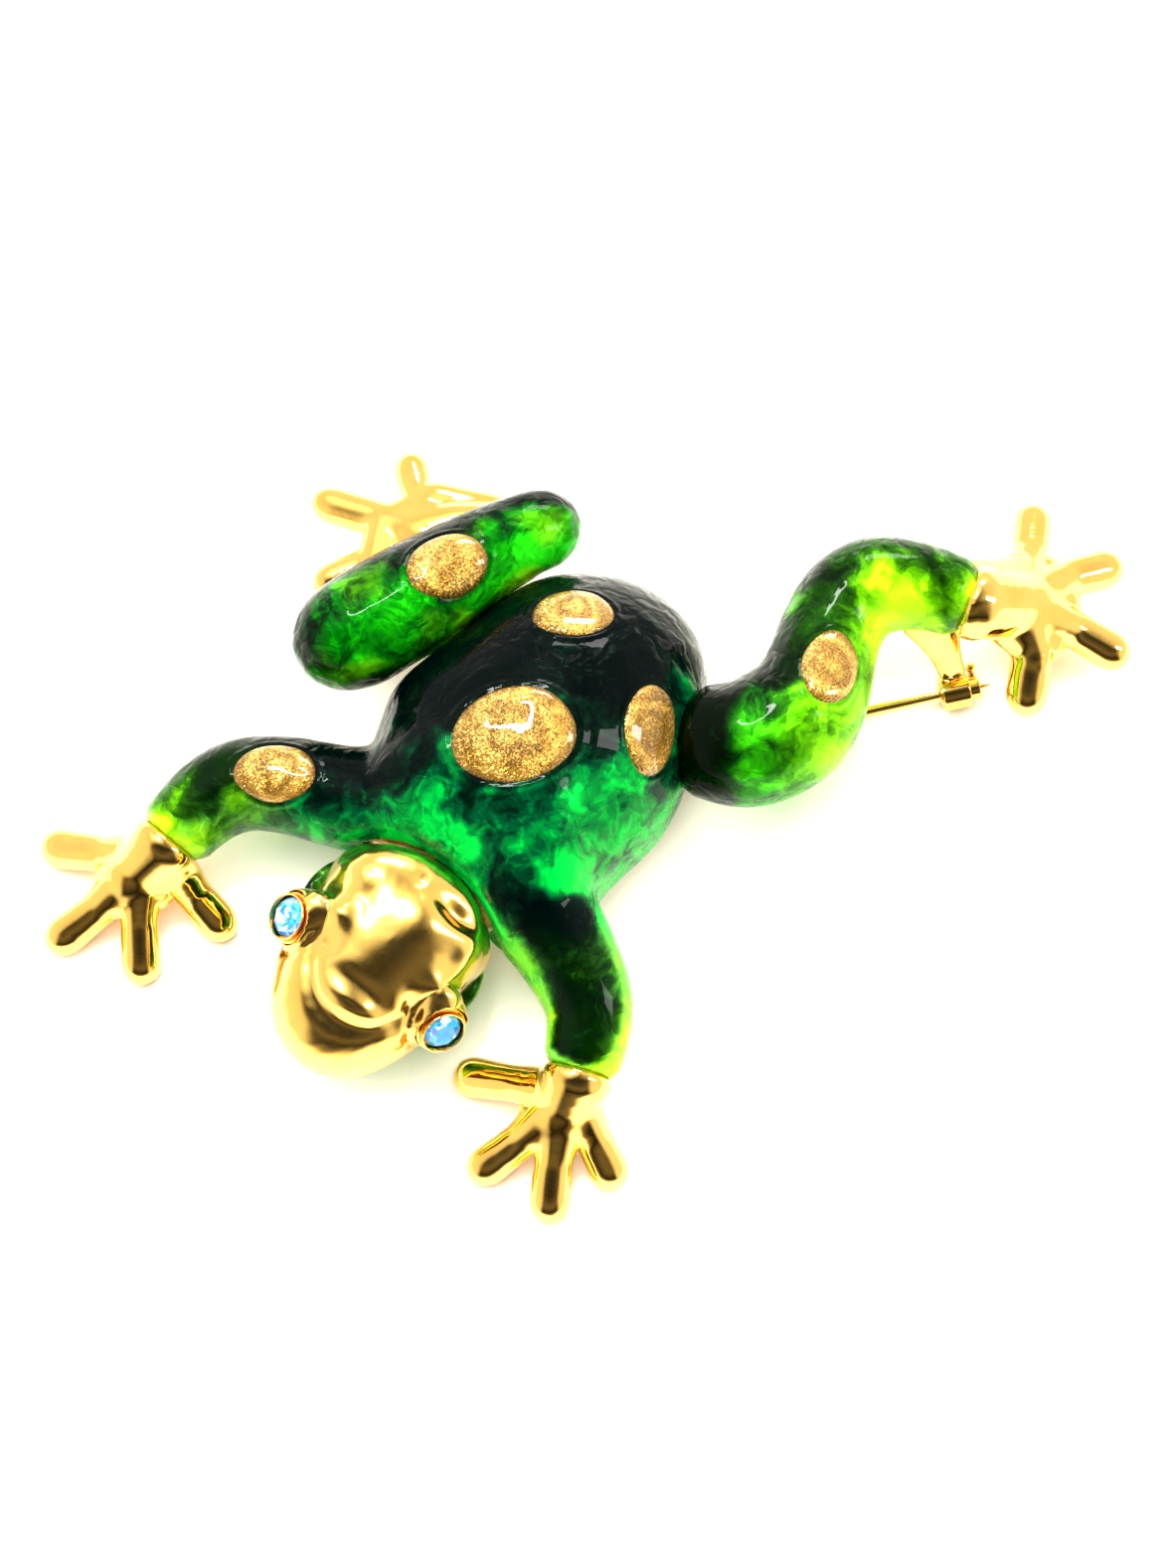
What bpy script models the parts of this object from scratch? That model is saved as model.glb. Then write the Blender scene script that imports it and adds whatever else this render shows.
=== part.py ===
"""Enamelled frog brooch: gold-plated castings, enamel coats, crystal eyes and pin.

The frog lies flat with its back towards +Z, as on a table or a lapel. +X runs
along the pin from its hinge to its point. Left and right are those of a person
who looks at the front of the brooch. Design sizes are millimetres; meshes are
built in metres.
"""

from math import cos, pi, radians, sin, sqrt

import bmesh
import bpy
import numpy as np
from mathutils import Matrix, Vector
from mathutils.bvhtree import BVHTree

MM = 0.001

# ---------------------------------------------------------------- dimensions
ENAMEL = 0.7            # thickness of the enamel coats
FIT = 0.2               # gap between two pieces that touch or slide
WALL = 1.3              # wall of the hollow castings
CUT_PAST = 1.0          # cutters reach this far past the face that they open
ROOM_PAST = 1.5         # and this far below the pieces that they make room for
TUBE_SIDES = 16
CORE_SIDES = 12
ROD_SIDES = 16
SMALL_ROD_SIDES = 12
SHARP_EDGE = 40         # degrees; edges sharper than this are not shaded smooth

# Torso: outline at its widest level, seen from the front, and its heights.
TORSO_OUTLINE = [
    (-0.9, 12.8), (1.8, 12.6), (4.1, 11.8), (6.2, 10.4), (7.7, 8.4), (8.3, 6.0),
    (8.1, 3.4), (7.4, 0.4), (6.5, -2.7), (4.9, -5.8), (2.9, -7.9), (1.0, -9.4),
    (0.3, -11.4), (-1.2, -13.6), (-4.0, -14.4), (-6.9, -13.0), (-10.2, -10.6),
    (-13.6, -8.5), (-16.7, -6.2), (-16.6, -3.0), (-15.0, -0.6), (-14.2, 1.6),
    (-13.5, 4.1), (-11.2, 6.2), (-8.6, 8.3), (-6.1, 10.5), (-3.6, 12.2),
]
TORSO_CENTRE = (-3.2, 0.5)
BACK_Z = 4.2            # flat back of the torso
TORSO_WIDEST_Z = 6.6
TORSO_TOP_Z = 15.4
TORSO_POINTS = 36
TORSO_LEVELS = 6
LIMB_STEPS = 2          # rings between two points of a limb's centre line

# Limb centre lines from the body outwards: x, y, z, outer radius.
LEFT_ARM = [
    (-12.5, -4.6, 7.9, 3.7), (-17.3, -3.5, 7.3, 3.35), (-21.0, -2.5, 7.0, 3.2),
    (-24.4, -2.5, 6.5, 3.05), (-27.0, -4.2, 6.0, 2.75), (-28.8, -6.2, 5.5, 2.45),
]
RIGHT_ARM = [
    (-6.5, -7.0, 8.2, 4.0), (-3.9, -10.8, 7.6, 3.8), (-1.5, -14.4, 6.9, 3.3),
    (0.2, -17.9, 6.3, 2.95), (0.1, -20.6, 5.9, 2.65), (-0.5, -22.9, 5.5, 2.4),
]
RIGHT_LEG = [
    (6.0, 0.8, 6.8, 3.3), (8.4, 0.3, 7.9, 3.8), (11.2, -0.2, 8.7, 4.4), (14.4, 1.5, 8.9, 4.4),
    (15.9, 4.3, 9.0, 3.8), (16.7, 7.1, 9.0, 3.45), (17.9, 9.8, 9.1, 3.4),
    (20.0, 11.4, 9.2, 3.35), (23.4, 11.4, 9.1, 2.85), (26.6, 10.4, 8.8, 2.55),
]
LEFT_LEG = [
    (-16.6, 7.5, 9.3, 3.75), (-14.0, 9.0, 9.4, 3.95), (-11.6, 10.4, 9.5, 3.9),
    (-8.9, 12.2, 9.6, 3.5), (-5.9, 14.0, 9.7, 3.1), (-3.2, 15.4, 9.7, 2.75),
]
LEFT_LEG_BACK_Z = 6.6   # the folded leg is bare metal and flat behind this level
LEFT_LEG_BEHIND = [(-24, 0), (2, 0), (2, 22), (-24, 22)]
LEFT_LEG_BEHIND_Z = 2.0
CORE_RECESS = 0.6       # the enamel sleeve's rim stands this far past its core
CORE_EXTRA = 0.04       # more room round the cores, whose rings have fewer sides
SLEEVE_OPENING = 1.0    # the cutter of a sleeve's inside reaches this far past its rim
END_TILTS = (72, 36)    # degrees; rings of a limb's closed round end
SOCKET_R = 1.25
SOCKET_SPARE = 0.4      # depth of a socket below its peg
SOCKET_OPENING = 1.4
PEG_R = 1.0
PEG_LENGTH = 2.0
PEG_ROOT = 1.2          # length of a peg inside its hand or foot
WRIST_STEP = 0.15       # a wrist is this much thinner than its sleeve
WRIST_REACH = 0.3
KNUCKLE_REACH = 0.9
KNUCKLE_R = 1.3
WRIST_CUT_LENGTH = 8.0
WRIST_CUT_R = 6.0

# Hands and feet: root at the sleeve's end, then joints and tips: x, y, z, radius.
LEFT_HAND = {
    "palm": (-31.4, -8.3, 3.9, 1.5),
    "fingers": [
        [(-30.6, -6.9, 4.4, 1.35), (-33.6, -6.1, 2.6, 0.95), (-36.9, -5.2, 1.1, 1.12)],
        [(-31.6, -8.4, 3.9, 1.3), (-34.0, -10.2, 2.4, 0.95), (-36.4, -11.7, 1.1, 1.12)],
        [(-30.9, -8.6, 3.9, 1.3), (-31.0, -11.2, 2.4, 0.95), (-30.9, -13.8, 1.1, 1.12)],
        [(-28.6, -7.6, 4.3, 1.3), (-27.2, -9.2, 2.6, 0.95), (-25.6, -10.7, 1.1, 1.12)],
    ],
}
RIGHT_HAND = {
    "palm": (-1.7, -25.3, 3.9, 1.5),
    "fingers": [
        [(-1.9, -23.9, 4.4, 1.35), (-5.0, -22.8, 2.7, 0.95), (-7.8, -21.9, 1.1, 1.12)],
        [(-2.2, -25.2, 3.9, 1.3), (-4.6, -26.9, 2.4, 0.95), (-6.9, -28.3, 1.1, 1.12)],
        [(-1.7, -25.6, 3.9, 1.3), (-2.2, -28.3, 2.3, 0.95), (-2.5, -30.9, 1.1, 1.15)],
        [(-0.5, -25.0, 4.1, 1.3), (0.6, -26.9, 2.5, 0.95), (1.6, -28.6, 1.1, 1.12)],
    ],
}
RIGHT_FOOT = {
    "palm": (31.2, 11.2, 6.0, 1.8),
    "fingers": [
        [(30.4, 12.2, 6.2, 1.5), (31.4, 15.4, 4.7, 1.1), (31.8, 18.5, 3.6, 1.15)],
        [(31.6, 11.8, 6.0, 1.4), (34.0, 13.8, 4.6, 1.05), (36.8, 14.9, 3.6, 1.15)],
        [(31.8, 10.6, 5.9, 1.4), (34.4, 10.0, 4.5, 1.0), (37.1, 8.7, 3.5, 1.15)],
        [(30.6, 10.2, 6.2, 1.5), (31.4, 7.9, 4.8, 1.15), (31.0, 5.3, 3.5, 1.2)],
    ],
}
LEFT_FOOT = {
    "palm": (-11.4, 17.0, 4.6, 1.5),
    "heel": [(-4.0, 16.6, 5.3, 1.0), (-6.6, 17.9, 5.2, 1.0), (-9.4, 17.9, 4.9, 1.2)],
    "fingers": [
        [(-11.0, 17.6, 4.7, 1.3), (-12.0, 20.4, 3.9, 0.95), (-12.5, 22.8, 3.2, 1.05)],
        [(-11.8, 17.2, 4.6, 1.3), (-15.2, 18.9, 3.7, 1.0), (-18.4, 20.2, 3.0, 1.05)],
        [(-11.8, 16.4, 4.5, 1.2), (-15.2, 15.4, 3.6, 0.95), (-18.2, 14.2, 3.0, 1.05)],
        [(-10.9, 16.4, 4.3, 1.1), (-10.6, 14.0, 3.4, 0.9), (-10.4, 11.6, 2.9, 0.95)],
    ],
}
VOXEL = 0.28            # grain of the blended hands and feet
BLEND_PASSES = 5
LIMB_END_FACES = 0.085  # share of the blended faces that is kept

# Head, in its own frame: +x to the snout, +y to the frog's left eye, +z up.
HEAD_PLACE = (-14.9, -17.1, 9.5)
HEAD_HEADING = -124.8
HEAD_ROLL = -12.0
HEAD_HALF = [
    (7.1, 0.0), (6.5, 2.3), (5.1, 3.9), (3.1, 5.0), (1.0, 5.7), (-1.2, 5.9), (-3.2, 5.9),
    (-5.0, 6.1), (-6.6, 6.2), (-8.2, 5.0), (-9.3, 2.7), (-9.7, 0.0),
]
HEAD_CENTRE = (-2.2, 0.0)
HEAD_RIM_Z = -3.2
HEAD_WIDEST_Z = -2.2
HEAD_TOP_Z = 4.0
HEAD_POINTS = 30
HEAD_LEVELS = 5
SNOUT_DROP = 0.28       # the skull is this much lower at the snout than at the nape
THROAT_HALF = [
    (5.7, 0.0), (5.2, 2.2), (3.8, 4.0), (1.2, 5.4), (-1.5, 6.5), (-4.5, 6.9), (-6.9, 5.6),
    (-8.1, 2.8), (-8.5, 0.0),
]
THROAT_TOP_Z = HEAD_RIM_Z - FIT
THROAT_BACK_Z = -5.4
THROAT_POINTS = 24
THROAT_RINGS = [(0.84, THROAT_BACK_Z), (0.96, -4.9), (1.0, -4.3), (1.0, THROAT_TOP_Z)]
HEAD_FIT = 0.25         # gap between the head and the shoulders

# Eyes, in the head's frame. The cup's axis leans forwards and outwards.
EYE_PLACE = (0.0, 6.35, 0.1)
EYE_AXIS = (0.45, 0.66, 0.60)
BROW_R = 2.35
BROW_SHIFT = (-0.5, -0.8, -0.5)
CUP_R = 1.72
CUP_BORE_R = 1.48
CUP_DEPTH = 1.5
CUP_FLOOR = 0.45
CUP_FOOT = [(-0.2, 0.0), (0.0, 0.3)]            # from the cup's radius and back
CUP_RIM = [(0.0, 0.3), (-0.1, 0.42)]            # from the cup's radius and the girdle
CUP_LIP_Z = 0.36
EYE_BORE_LENGTH = 6.0
EYE_SIDES = 16
CRYSTAL_R = 1.36
CRYSTAL_SIDES = 12
CRYSTAL_PROFILE = [(0.96, -0.1), (1.0, 0.05), (0.9, 0.3), (0.55, 0.62)]
CRYSTAL_POINT_Z = -0.95

# Glitter spots: name, host, centre x and y, half length, half width, turn in degrees.
SPOTS = [
    ("spot_thigh", "left_leg_enamel", -9.6, 11.3, 2.9, 2.15, 27.0),
    ("spot_rump", "body_enamel", -0.9, 7.4, 2.75, 2.0, 5.0),
    ("spot_back", "body_enamel", -4.9, -1.9, 4.2, 3.35, 10.0),
    ("spot_hip", "body_enamel", 4.3, -0.6, 3.1, 1.6, 80.0),
    ("spot_shin", "right_leg_enamel", 16.7, 3.9, 2.75, 1.8, 76.0),
    ("spot_arm", "body_enamel", -21.3, -2.8, 2.85, 1.9, -7.0),
]
SPOT_GAP = 0.15
SPOT_CROWN = 0.38
SPOT_EDGE = 0.12
SPOT_SHARES = (1.0, 0.72, 0.38)
SPOT_SIDES = 18
ABOVE_ALL = 40.0        # a height that is above the whole brooch

# Pin hardware, in the hinge's frame: x along the stem, y along the rivet.
HINGE_PLACE = (0.2, 0.4, 1.4)
STEM_HEADING = 13.1
STEM = [(0.66, 0.46), (8.0, 0.45), (20.0, 0.42), (26.0, 0.3), (27.8, 0.26), (29.2, 0.05)]
EYE_RING_R = 0.95
EYE_HOLE_R = 0.44
EYE_WIDTH = 0.9
STEM_SIDES = 10
RIVET_R = 0.34
RIVET_PLAY = 0.08
RIVET_HEAD = [(0.65, 0.0), (0.65, 0.12), (0.455, 0.3)]     # radius, height of a rivet head
RIVET_HEAD_TOP = 0.34
CHEEK_GAP = 1.2         # room between the bracket's cheeks
CHEEK = 0.6
CHEEK_HALF_TOP = 1.3
CHEEK_SINK = 0.2        # the cheeks end this far inside the bracket's base
CHEEK_STEPS = 11
HOLE_LENGTH = 8.0
BRACKET_LENGTH = 3.2
BRACKET_BASE = 0.6
BACK_PLATE = 1.0

# Catch and its safety sleeve, around the stem. Angles turn from +y towards +z.
CATCH_START = 25.6
CATCH_LENGTH = 2.0
BARREL_R = 1.25
BARREL_BORE_R = 0.92
SLEEVE_R = 0.82
SLEEVE_BORE_R = 0.56
SLEEVE_LEAD = 0.1       # the sleeve's length past the barrel, on the hinge's side
SLEEVE_EXTRA = 0.75     # and on the point's side
MOUTH_FROM = -42.0
MOUTH_TO = -170.0
LEVER_ANGLE = 31.0
LEVER_LENGTH = 1.5
LEVER_R = 0.22
LEVER_SIDES = 8
LEVER_SINK = 0.12
LEVER_REACH = 0.42      # from the barrel's end to the lever
KNOB_R = 0.38
BALL_SIDES = 12
BALL_STEPS = 6
LEG_ROOM_END = 0.5
BARREL_STEPS = 14
POST = [
    (26.6, 1.0, 1.1, 0.45, 1.0), (26.3, 1.7, 2.4, 0.5, 1.05),
    (25.9, 2.5, 3.9, 0.6, 1.5), (25.2, 3.3, 5.4, 0.75, 2.0), (25.0, 3.9, 6.9, 0.9, 2.1),
]                       # x, y, z, half thickness, half width

# ----------------------------------------------------------------- materials
GOLD = ((0.90, 0.62, 0.22), 0.12, 1.0)
GOLD_BACK = ((0.78, 0.55, 0.22), 0.32, 1.0)
GREEN = ((0.01, 0.20, 0.05), 0.08, 0.0)
LIME = ((0.16, 0.45, 0.03), 0.08, 0.0)
GLITTER = ((0.62, 0.42, 0.16), 0.45, 0.6)
CRYSTAL = ((0.25, 0.62, 0.95), 0.04, 0.0)


# ------------------------------------------------------------------- helpers
def clear_scene():
    for item in list(bpy.data.objects):
        bpy.data.objects.remove(item, do_unlink=True)


def finish_material(name, look):
    colour, roughness, metallic = look
    material = bpy.data.materials.new(name)
    material.use_nodes = True
    shader = material.node_tree.nodes["Principled BSDF"]
    shader.inputs["Base Color"].default_value = (*colour, 1.0)
    shader.inputs["Roughness"].default_value = roughness
    shader.inputs["Metallic"].default_value = metallic
    return material


def make_empty(name, parent=None, place=(0, 0, 0), turn=None):
    empty = bpy.data.objects.new(name, None)
    bpy.context.collection.objects.link(empty)
    empty.parent = parent
    empty.location = Vector(place) * MM
    if turn is not None:
        empty.rotation_euler = turn.to_euler()
    return empty


def make_object(name, vertices, faces, parent, look=None):
    """Mesh object from millimetre vertices; without a look it is a hidden cutter."""
    mesh = bpy.data.meshes.new(name)
    mesh.from_pydata([tuple(float(c) * MM for c in v) for v in vertices], [], faces)
    shell = bmesh.new()
    shell.from_mesh(mesh)
    bmesh.ops.recalc_face_normals(shell, faces=shell.faces)
    shell.to_mesh(mesh)
    shell.free()
    mesh.shade_smooth()
    mesh.set_sharp_from_angle(angle=radians(SHARP_EDGE))
    item = bpy.data.objects.new(name, mesh)
    bpy.context.collection.objects.link(item)
    item.parent = parent
    if look is None:
        item.hide_render = True
        item.display_type = "WIRE"
    else:
        mesh.materials.append(finish_material(name, look))
    return item


def boolean(target, other, operation):
    modifier = target.modifiers.new(other.name, "BOOLEAN")
    modifier.operation = operation
    modifier.object = other
    return modifier


def curve_points(points, steps, closed=False):
    """Points on a Catmull-Rom curve through rows of numbers."""
    rows = [np.array(p, dtype=float) for p in points]
    if closed:
        rows = [rows[-1]] + rows + rows[:2]
    else:
        rows = [2 * rows[0] - rows[1]] + rows + [2 * rows[-1] - rows[-2]]
    result = []
    for before, start, end, after in zip(rows, rows[1:], rows[2:], rows[3:]):
        for k in range(steps):
            t = k / steps
            cubic = -before + 3 * start - 3 * end + after
            square = 2 * before - 5 * start + 4 * end - after
            result.append(start + 0.5 * t * (end - before + t * (square + t * cubic)))
    if not closed:
        result.append(rows[-2])
    return np.array(result)


def even_outline(points, count):
    """Closed smooth outline through the points, with evenly spaced vertices."""
    dense = curve_points(points, 12, closed=True)
    ring = np.vstack([dense, dense[:1]])
    run = np.concatenate([[0.0], np.cumsum(np.linalg.norm(np.diff(ring, axis=0), axis=1))])
    stations = np.linspace(0.0, run[-1], count, endpoint=False)
    return np.column_stack([np.interp(stations, run, ring[:, axis]) for axis in range(2)])


def mirrored(half):
    """Full outline from one half that starts and ends on the middle line."""
    return half + [(x, -y) for x, y in reversed(half[1:-1])]


def inset(outline, distance):
    """Outline moved inwards by a distance, or outwards if it is negative."""
    along = np.roll(outline, -1, axis=0) - np.roll(outline, 1, axis=0)
    normal = np.column_stack([along[:, 1], -along[:, 0]])
    normal /= np.linalg.norm(normal, axis=1)[:, None]
    following = np.roll(outline, -1, axis=0)
    area = np.sum(outline[:, 0] * following[:, 1] - following[:, 0] * outline[:, 1])
    return outline - normal * distance * np.sign(area)


def skin(rings, cap_start=True, cap_end=True, loop=False):
    """Vertices and faces of a surface through rings of equal length."""
    count = len(rings[0])
    vertices = [tuple(v) for ring in rings for v in ring]
    pairs = [(k, k + 1) for k in range(len(rings) - 1)]
    if loop:
        pairs.append((len(rings) - 1, 0))
    faces = []
    for low, high in pairs:
        for j in range(count):
            k = (j + 1) % count
            faces.append((low * count + j, low * count + k, high * count + k, high * count + j))
    if cap_start and not loop:
        faces.append(tuple(reversed(range(count))))
    if cap_end and not loop:
        faces.append(tuple(range((len(rings) - 1) * count, len(rings) * count)))
    return vertices, faces


def tube_rings(path, sides, shrink=0.0, end=0.0):
    """Rings along a path of x, y, z, radius; end lengthens it (negative: shortens)."""
    points = [Vector(row[:3]) for row in path]
    radii = [row[3] - shrink for row in path]
    first = (points[0] - points[1]).normalized()
    last = (points[-1] - points[-2]).normalized()
    points[-1] = points[-1] + last * end
    side = first.cross(Vector((0, 0, 1))).normalized()
    rings = []
    for k, point in enumerate(points):
        ahead = points[min(k + 1, len(points) - 1)]
        behind = points[max(k - 1, 0)]
        along = (ahead - behind).normalized()
        side = (side - along * side.dot(along)).normalized()
        up = along.cross(side)
        ring = []
        for j in range(sides):
            angle = 2 * pi * j / sides
            ring.append(point + (side * cos(angle) + up * sin(angle)) * radii[k])
        rings.append(ring)
    return rings


def rounded_rings(path, sides, shrink=0.0):
    """Rings along a path whose two ends are closed by half spheres."""
    points = [Vector(row[:3]) for row in path]
    first = (points[0] - points[1]).normalized()
    last = (points[-1] - points[-2]).normalized()
    head = []
    tail = []
    for tilt in END_TILTS:
        reach = sin(radians(tilt))
        spread = cos(radians(tilt))
        r0 = path[0][3] - shrink
        r1 = path[-1][3] - shrink
        head.append((*(points[0] + first * r0 * reach), r0 * spread))
        tail.insert(0, (*(points[-1] + last * r1 * reach), r1 * spread))
    rows = [(*row[:3], row[3] - shrink) for row in path]
    return tube_rings(head + rows + tail, sides)


def dome_rings(outline, centre, heights, shrink, levels, foot=None):
    """Rings of a dome over an outline: foot, straight wall, then an elliptic crown."""
    base_z, widest_z, top_z = heights
    edge = inset(outline, shrink)
    middle = np.array(centre)
    rings = [np.column_stack([edge, np.full(len(edge), base_z if foot is None else foot)])]
    for k in range(levels):
        tilt = pi / 2 * k / levels
        ring = middle + (edge - middle) * cos(tilt)
        z = widest_z + (top_z - shrink - widest_z) * sin(tilt)
        rings.append(np.column_stack([ring, np.full(len(ring), z)]))
    return rings


def dome_shape(rings, centre, top_z):
    """Vertices and faces of a dome with a flat foot and a single top vertex."""
    vertices, faces = skin(rings, cap_end=False)
    count = len(rings[0])
    apex = len(vertices)
    vertices.append((*centre, top_z))
    last = (len(rings) - 1) * count
    for j in range(count):
        faces.append((last + j, last + (j + 1) % count, apex))
    return vertices, faces


def lathe(profile, segments):
    """Vertices and faces of a closed profile of radius, height turned round z."""
    rings = []
    for j in range(segments):
        angle = 2 * pi * j / segments
        rings.append([(r * cos(angle), r * sin(angle), z) for r, z in profile])
    return skin(rings, loop=True)


def turned(name, profile, segments, parent, look=None):
    """Turned solid whose profile starts and ends on the axis."""
    ring_rows = []
    for r, z in profile[1:-1]:
        ring_rows.append([
            (r * cos(2 * pi * j / segments), r * sin(2 * pi * j / segments), z)
            for j in range(segments)
        ])
    vertices, faces = skin(ring_rows, cap_start=False, cap_end=False)
    low = len(vertices)
    vertices += [(0, 0, profile[0][1]), (0, 0, profile[-1][1])]
    last = (len(ring_rows) - 1) * segments
    for j in range(segments):
        k = (j + 1) % segments
        faces.append((low, k, j))
        faces.append((low + 1, last + j, last + k))
    return make_object(name, vertices, faces, parent, look)


def extruded(name, outline, low, high, parent, look=None):
    """Flat outline in x and y, extruded from one z to another."""
    rings = [[(x, y, z) for x, y in outline] for z in (low, high)]
    return make_object(name, *skin(rings), parent, look)


def facing(direction):
    """Rotation that takes +z to a direction."""
    return Vector(direction).to_track_quat("Z", "Y")


# --------------------------------------------------------------------- body
def limb(path):
    return curve_points(path, LIMB_STEPS)


def torso_solid(name, parent, shrink, foot=None, look=None):
    outline = even_outline(TORSO_OUTLINE, TORSO_POINTS)
    heights = (BACK_Z, TORSO_WIDEST_Z, TORSO_TOP_Z)
    rings = dome_rings(outline, TORSO_CENTRE, heights, shrink, TORSO_LEVELS, foot)
    vertices, faces = dome_shape(rings, TORSO_CENTRE, TORSO_TOP_Z - shrink)
    return make_object(name, vertices, faces, parent, look)


def arm_solid(name, path, parent, shrink, end):
    return make_object(name, *skin(tube_rings(limb(path), TUBE_SIDES, shrink, end)), parent)


def body_outside(prefix, parent, shrink, foot=None, end=0.0, look=None):
    """Torso and both arms as one solid, smaller than the enamel by shrink."""
    body = torso_solid(prefix, parent, shrink, foot, look)
    for side, path in (("left", LEFT_ARM), ("right", RIGHT_ARM)):
        arm = arm_solid(prefix + "_" + side + "_arm", path, parent, shrink, end)
        boolean(body, arm, "UNION")
    return body


def limb_end(path):
    """Last point of a limb and the direction in which it ends."""
    rows = limb(path)
    tip = Vector(rows[-1][:3])
    return tip, (tip - Vector(rows[-2][:3])).normalized()


def rod(name, start, direction, length, radius, parent, segments=ROD_SIDES):
    """Closed cylinder from a point along a direction, as a hidden helper."""
    rings = []
    turn = facing(direction)
    for reach in (0.0, length):
        rings.append([
            Vector(start) + turn @ Vector((radius * cos(2 * pi * j / segments),
                                           radius * sin(2 * pi * j / segments), reach))
            for j in range(segments)
        ])
    return make_object(name, *skin(rings), parent)


def cut_socket(target, path, parent):
    """Blind hole in a limb's core for the peg of a hand or foot."""
    tip, out = limb_end(path)
    start = tip - out * (CORE_RECESS + PEG_LENGTH + SOCKET_SPARE)
    name = target.name + "_socket_" + str(len(target.modifiers))
    hole = rod(name, start, out, PEG_LENGTH + SOCKET_OPENING, SOCKET_R, parent)
    boolean(target, hole, "DIFFERENCE")


def build_body(root, head_room):
    enamel = body_outside("body_enamel", root, 0.0, look=GREEN)
    inside = body_outside("enamel_inside", root, ENAMEL, BACK_Z - CUT_PAST, SLEEVE_OPENING)
    boolean(enamel, inside, "DIFFERENCE")
    boolean(enamel, head_room, "DIFFERENCE")

    core = ENAMEL + FIT
    casting = body_outside("body_casting", root, core, None, -CORE_RECESS, look=GOLD_BACK)
    hollow = torso_solid("torso_hollow", root, core + WALL, BACK_Z - CUT_PAST)
    boolean(casting, hollow, "DIFFERENCE")
    boolean(casting, head_room, "DIFFERENCE")
    for path in (LEFT_ARM, RIGHT_ARM):
        cut_socket(casting, path, root)


def build_back_plate(root):
    edge = inset(even_outline(TORSO_OUTLINE, TORSO_POINTS), ENAMEL + FIT + WALL + FIT)
    extruded("back_plate", edge, BACK_Z, BACK_Z + BACK_PLATE, root, GOLD_BACK)


def build_right_leg(root, body_room):
    rows = limb(RIGHT_LEG)
    outer = tube_rings(rows, TUBE_SIDES)
    inner = tube_rings(rows, TUBE_SIDES, ENAMEL)
    shell = skin(outer + inner[::-1], loop=True)
    enamel = make_object("right_leg_enamel", *shell, root, LIME)
    boolean(enamel, body_room, "DIFFERENCE")

    core = tube_rings(rows, CORE_SIDES, ENAMEL + FIT + CORE_EXTRA, -CORE_RECESS)
    casting = make_object("right_leg_casting", *skin(core), root, GOLD_BACK)
    boolean(casting, body_room, "DIFFERENCE")
    cut_socket(casting, RIGHT_LEG, root)


def build_left_leg(root, body_room):
    rows = limb(LEFT_LEG)
    enamel = make_object("left_leg_enamel", *skin(rounded_rings(rows, TUBE_SIDES)), root, GREEN)
    hollow = skin(rounded_rings(rows, TUBE_SIDES, ENAMEL))
    boolean(enamel, make_object("left_leg_inside", *hollow, root), "DIFFERENCE")
    core = skin(rounded_rings(rows, CORE_SIDES, ENAMEL + FIT + CORE_EXTRA))
    casting = make_object("left_leg_casting", *core, root, GOLD_BACK)
    span = (LEFT_LEG_BEHIND_Z, LEFT_LEG_BACK_Z)
    behind = extruded("left_leg_behind", LEFT_LEG_BEHIND, *span, root)
    for piece in (enamel, casting):
        boolean(piece, behind, "DIFFERENCE")
        boolean(piece, body_room, "DIFFERENCE")


# --------------------------------------------------------------- hands, feet
def tapered(vertices, faces, a, b):
    """Add a capsule between two balls of x, y, z, radius to a list of bodies."""
    rows = [a, tuple((p + q) / 2 for p, q in zip(a, b)), b]
    more, shapes = skin(rounded_rings(rows, CORE_SIDES))
    start = len(vertices)
    vertices += more
    faces += [tuple(start + k for k in face) for face in shapes]


def blended(name, root, pairs):
    """One smooth skin round a set of capsules."""
    vertices, faces = [], []
    for a, b in pairs:
        tapered(vertices, faces, a, b)
    item = make_object(name, vertices, faces, root, GOLD)
    remesh = item.modifiers.new("blend", "REMESH")
    remesh.mode = "VOXEL"
    remesh.voxel_size = VOXEL * MM
    remesh.use_smooth_shade = True
    smooth = item.modifiers.new("smooth", "SMOOTH")
    smooth.factor = 0.5
    smooth.iterations = BLEND_PASSES
    fewer = item.modifiers.new("fewer", "DECIMATE")
    fewer.ratio = LIMB_END_FACES
    return item


def digits(shape):
    """Capsules of the fingers or toes, and of the palm between them."""
    pairs = []
    for finger in shape["fingers"]:
        pairs.append((shape["palm"], finger[0]))
        pairs += list(zip(finger, finger[1:]))
    return pairs


def build_extremity(name, root, shape, path):
    """Hand or foot on a peg that goes into the end of its limb."""
    tip, out = limb_end(path)
    wrist = (*(tip + out * WRIST_REACH), path[-1][3] - WRIST_STEP)
    knuckle = (*(tip + out * KNUCKLE_REACH), KNUCKLE_R)
    pairs = [(wrist, shape["palm"])] + [(knuckle, finger[0]) for finger in shape["fingers"]]
    item = blended(name, root, pairs + digits(shape))
    behind = rod(name + "_behind", tip + out * FIT, -out, WRIST_CUT_LENGTH, WRIST_CUT_R, root,
                 SMALL_ROD_SIDES)
    boolean(item, behind, "DIFFERENCE")
    start = tip - out * (CORE_RECESS + PEG_LENGTH)
    peg = rod(name + "_peg", start, out, CORE_RECESS + PEG_LENGTH + PEG_ROOT, PEG_R, root)
    boolean(item, peg, "UNION")


def build_left_foot(root):
    """Foot of the folded leg, with the heel that runs along below its enamel."""
    heel = LEFT_FOOT["heel"]
    pairs = list(zip(heel, heel[1:])) + [(heel[-1], LEFT_FOOT["palm"])]
    blended("left_foot", root, digits(LEFT_FOOT) + pairs)


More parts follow.
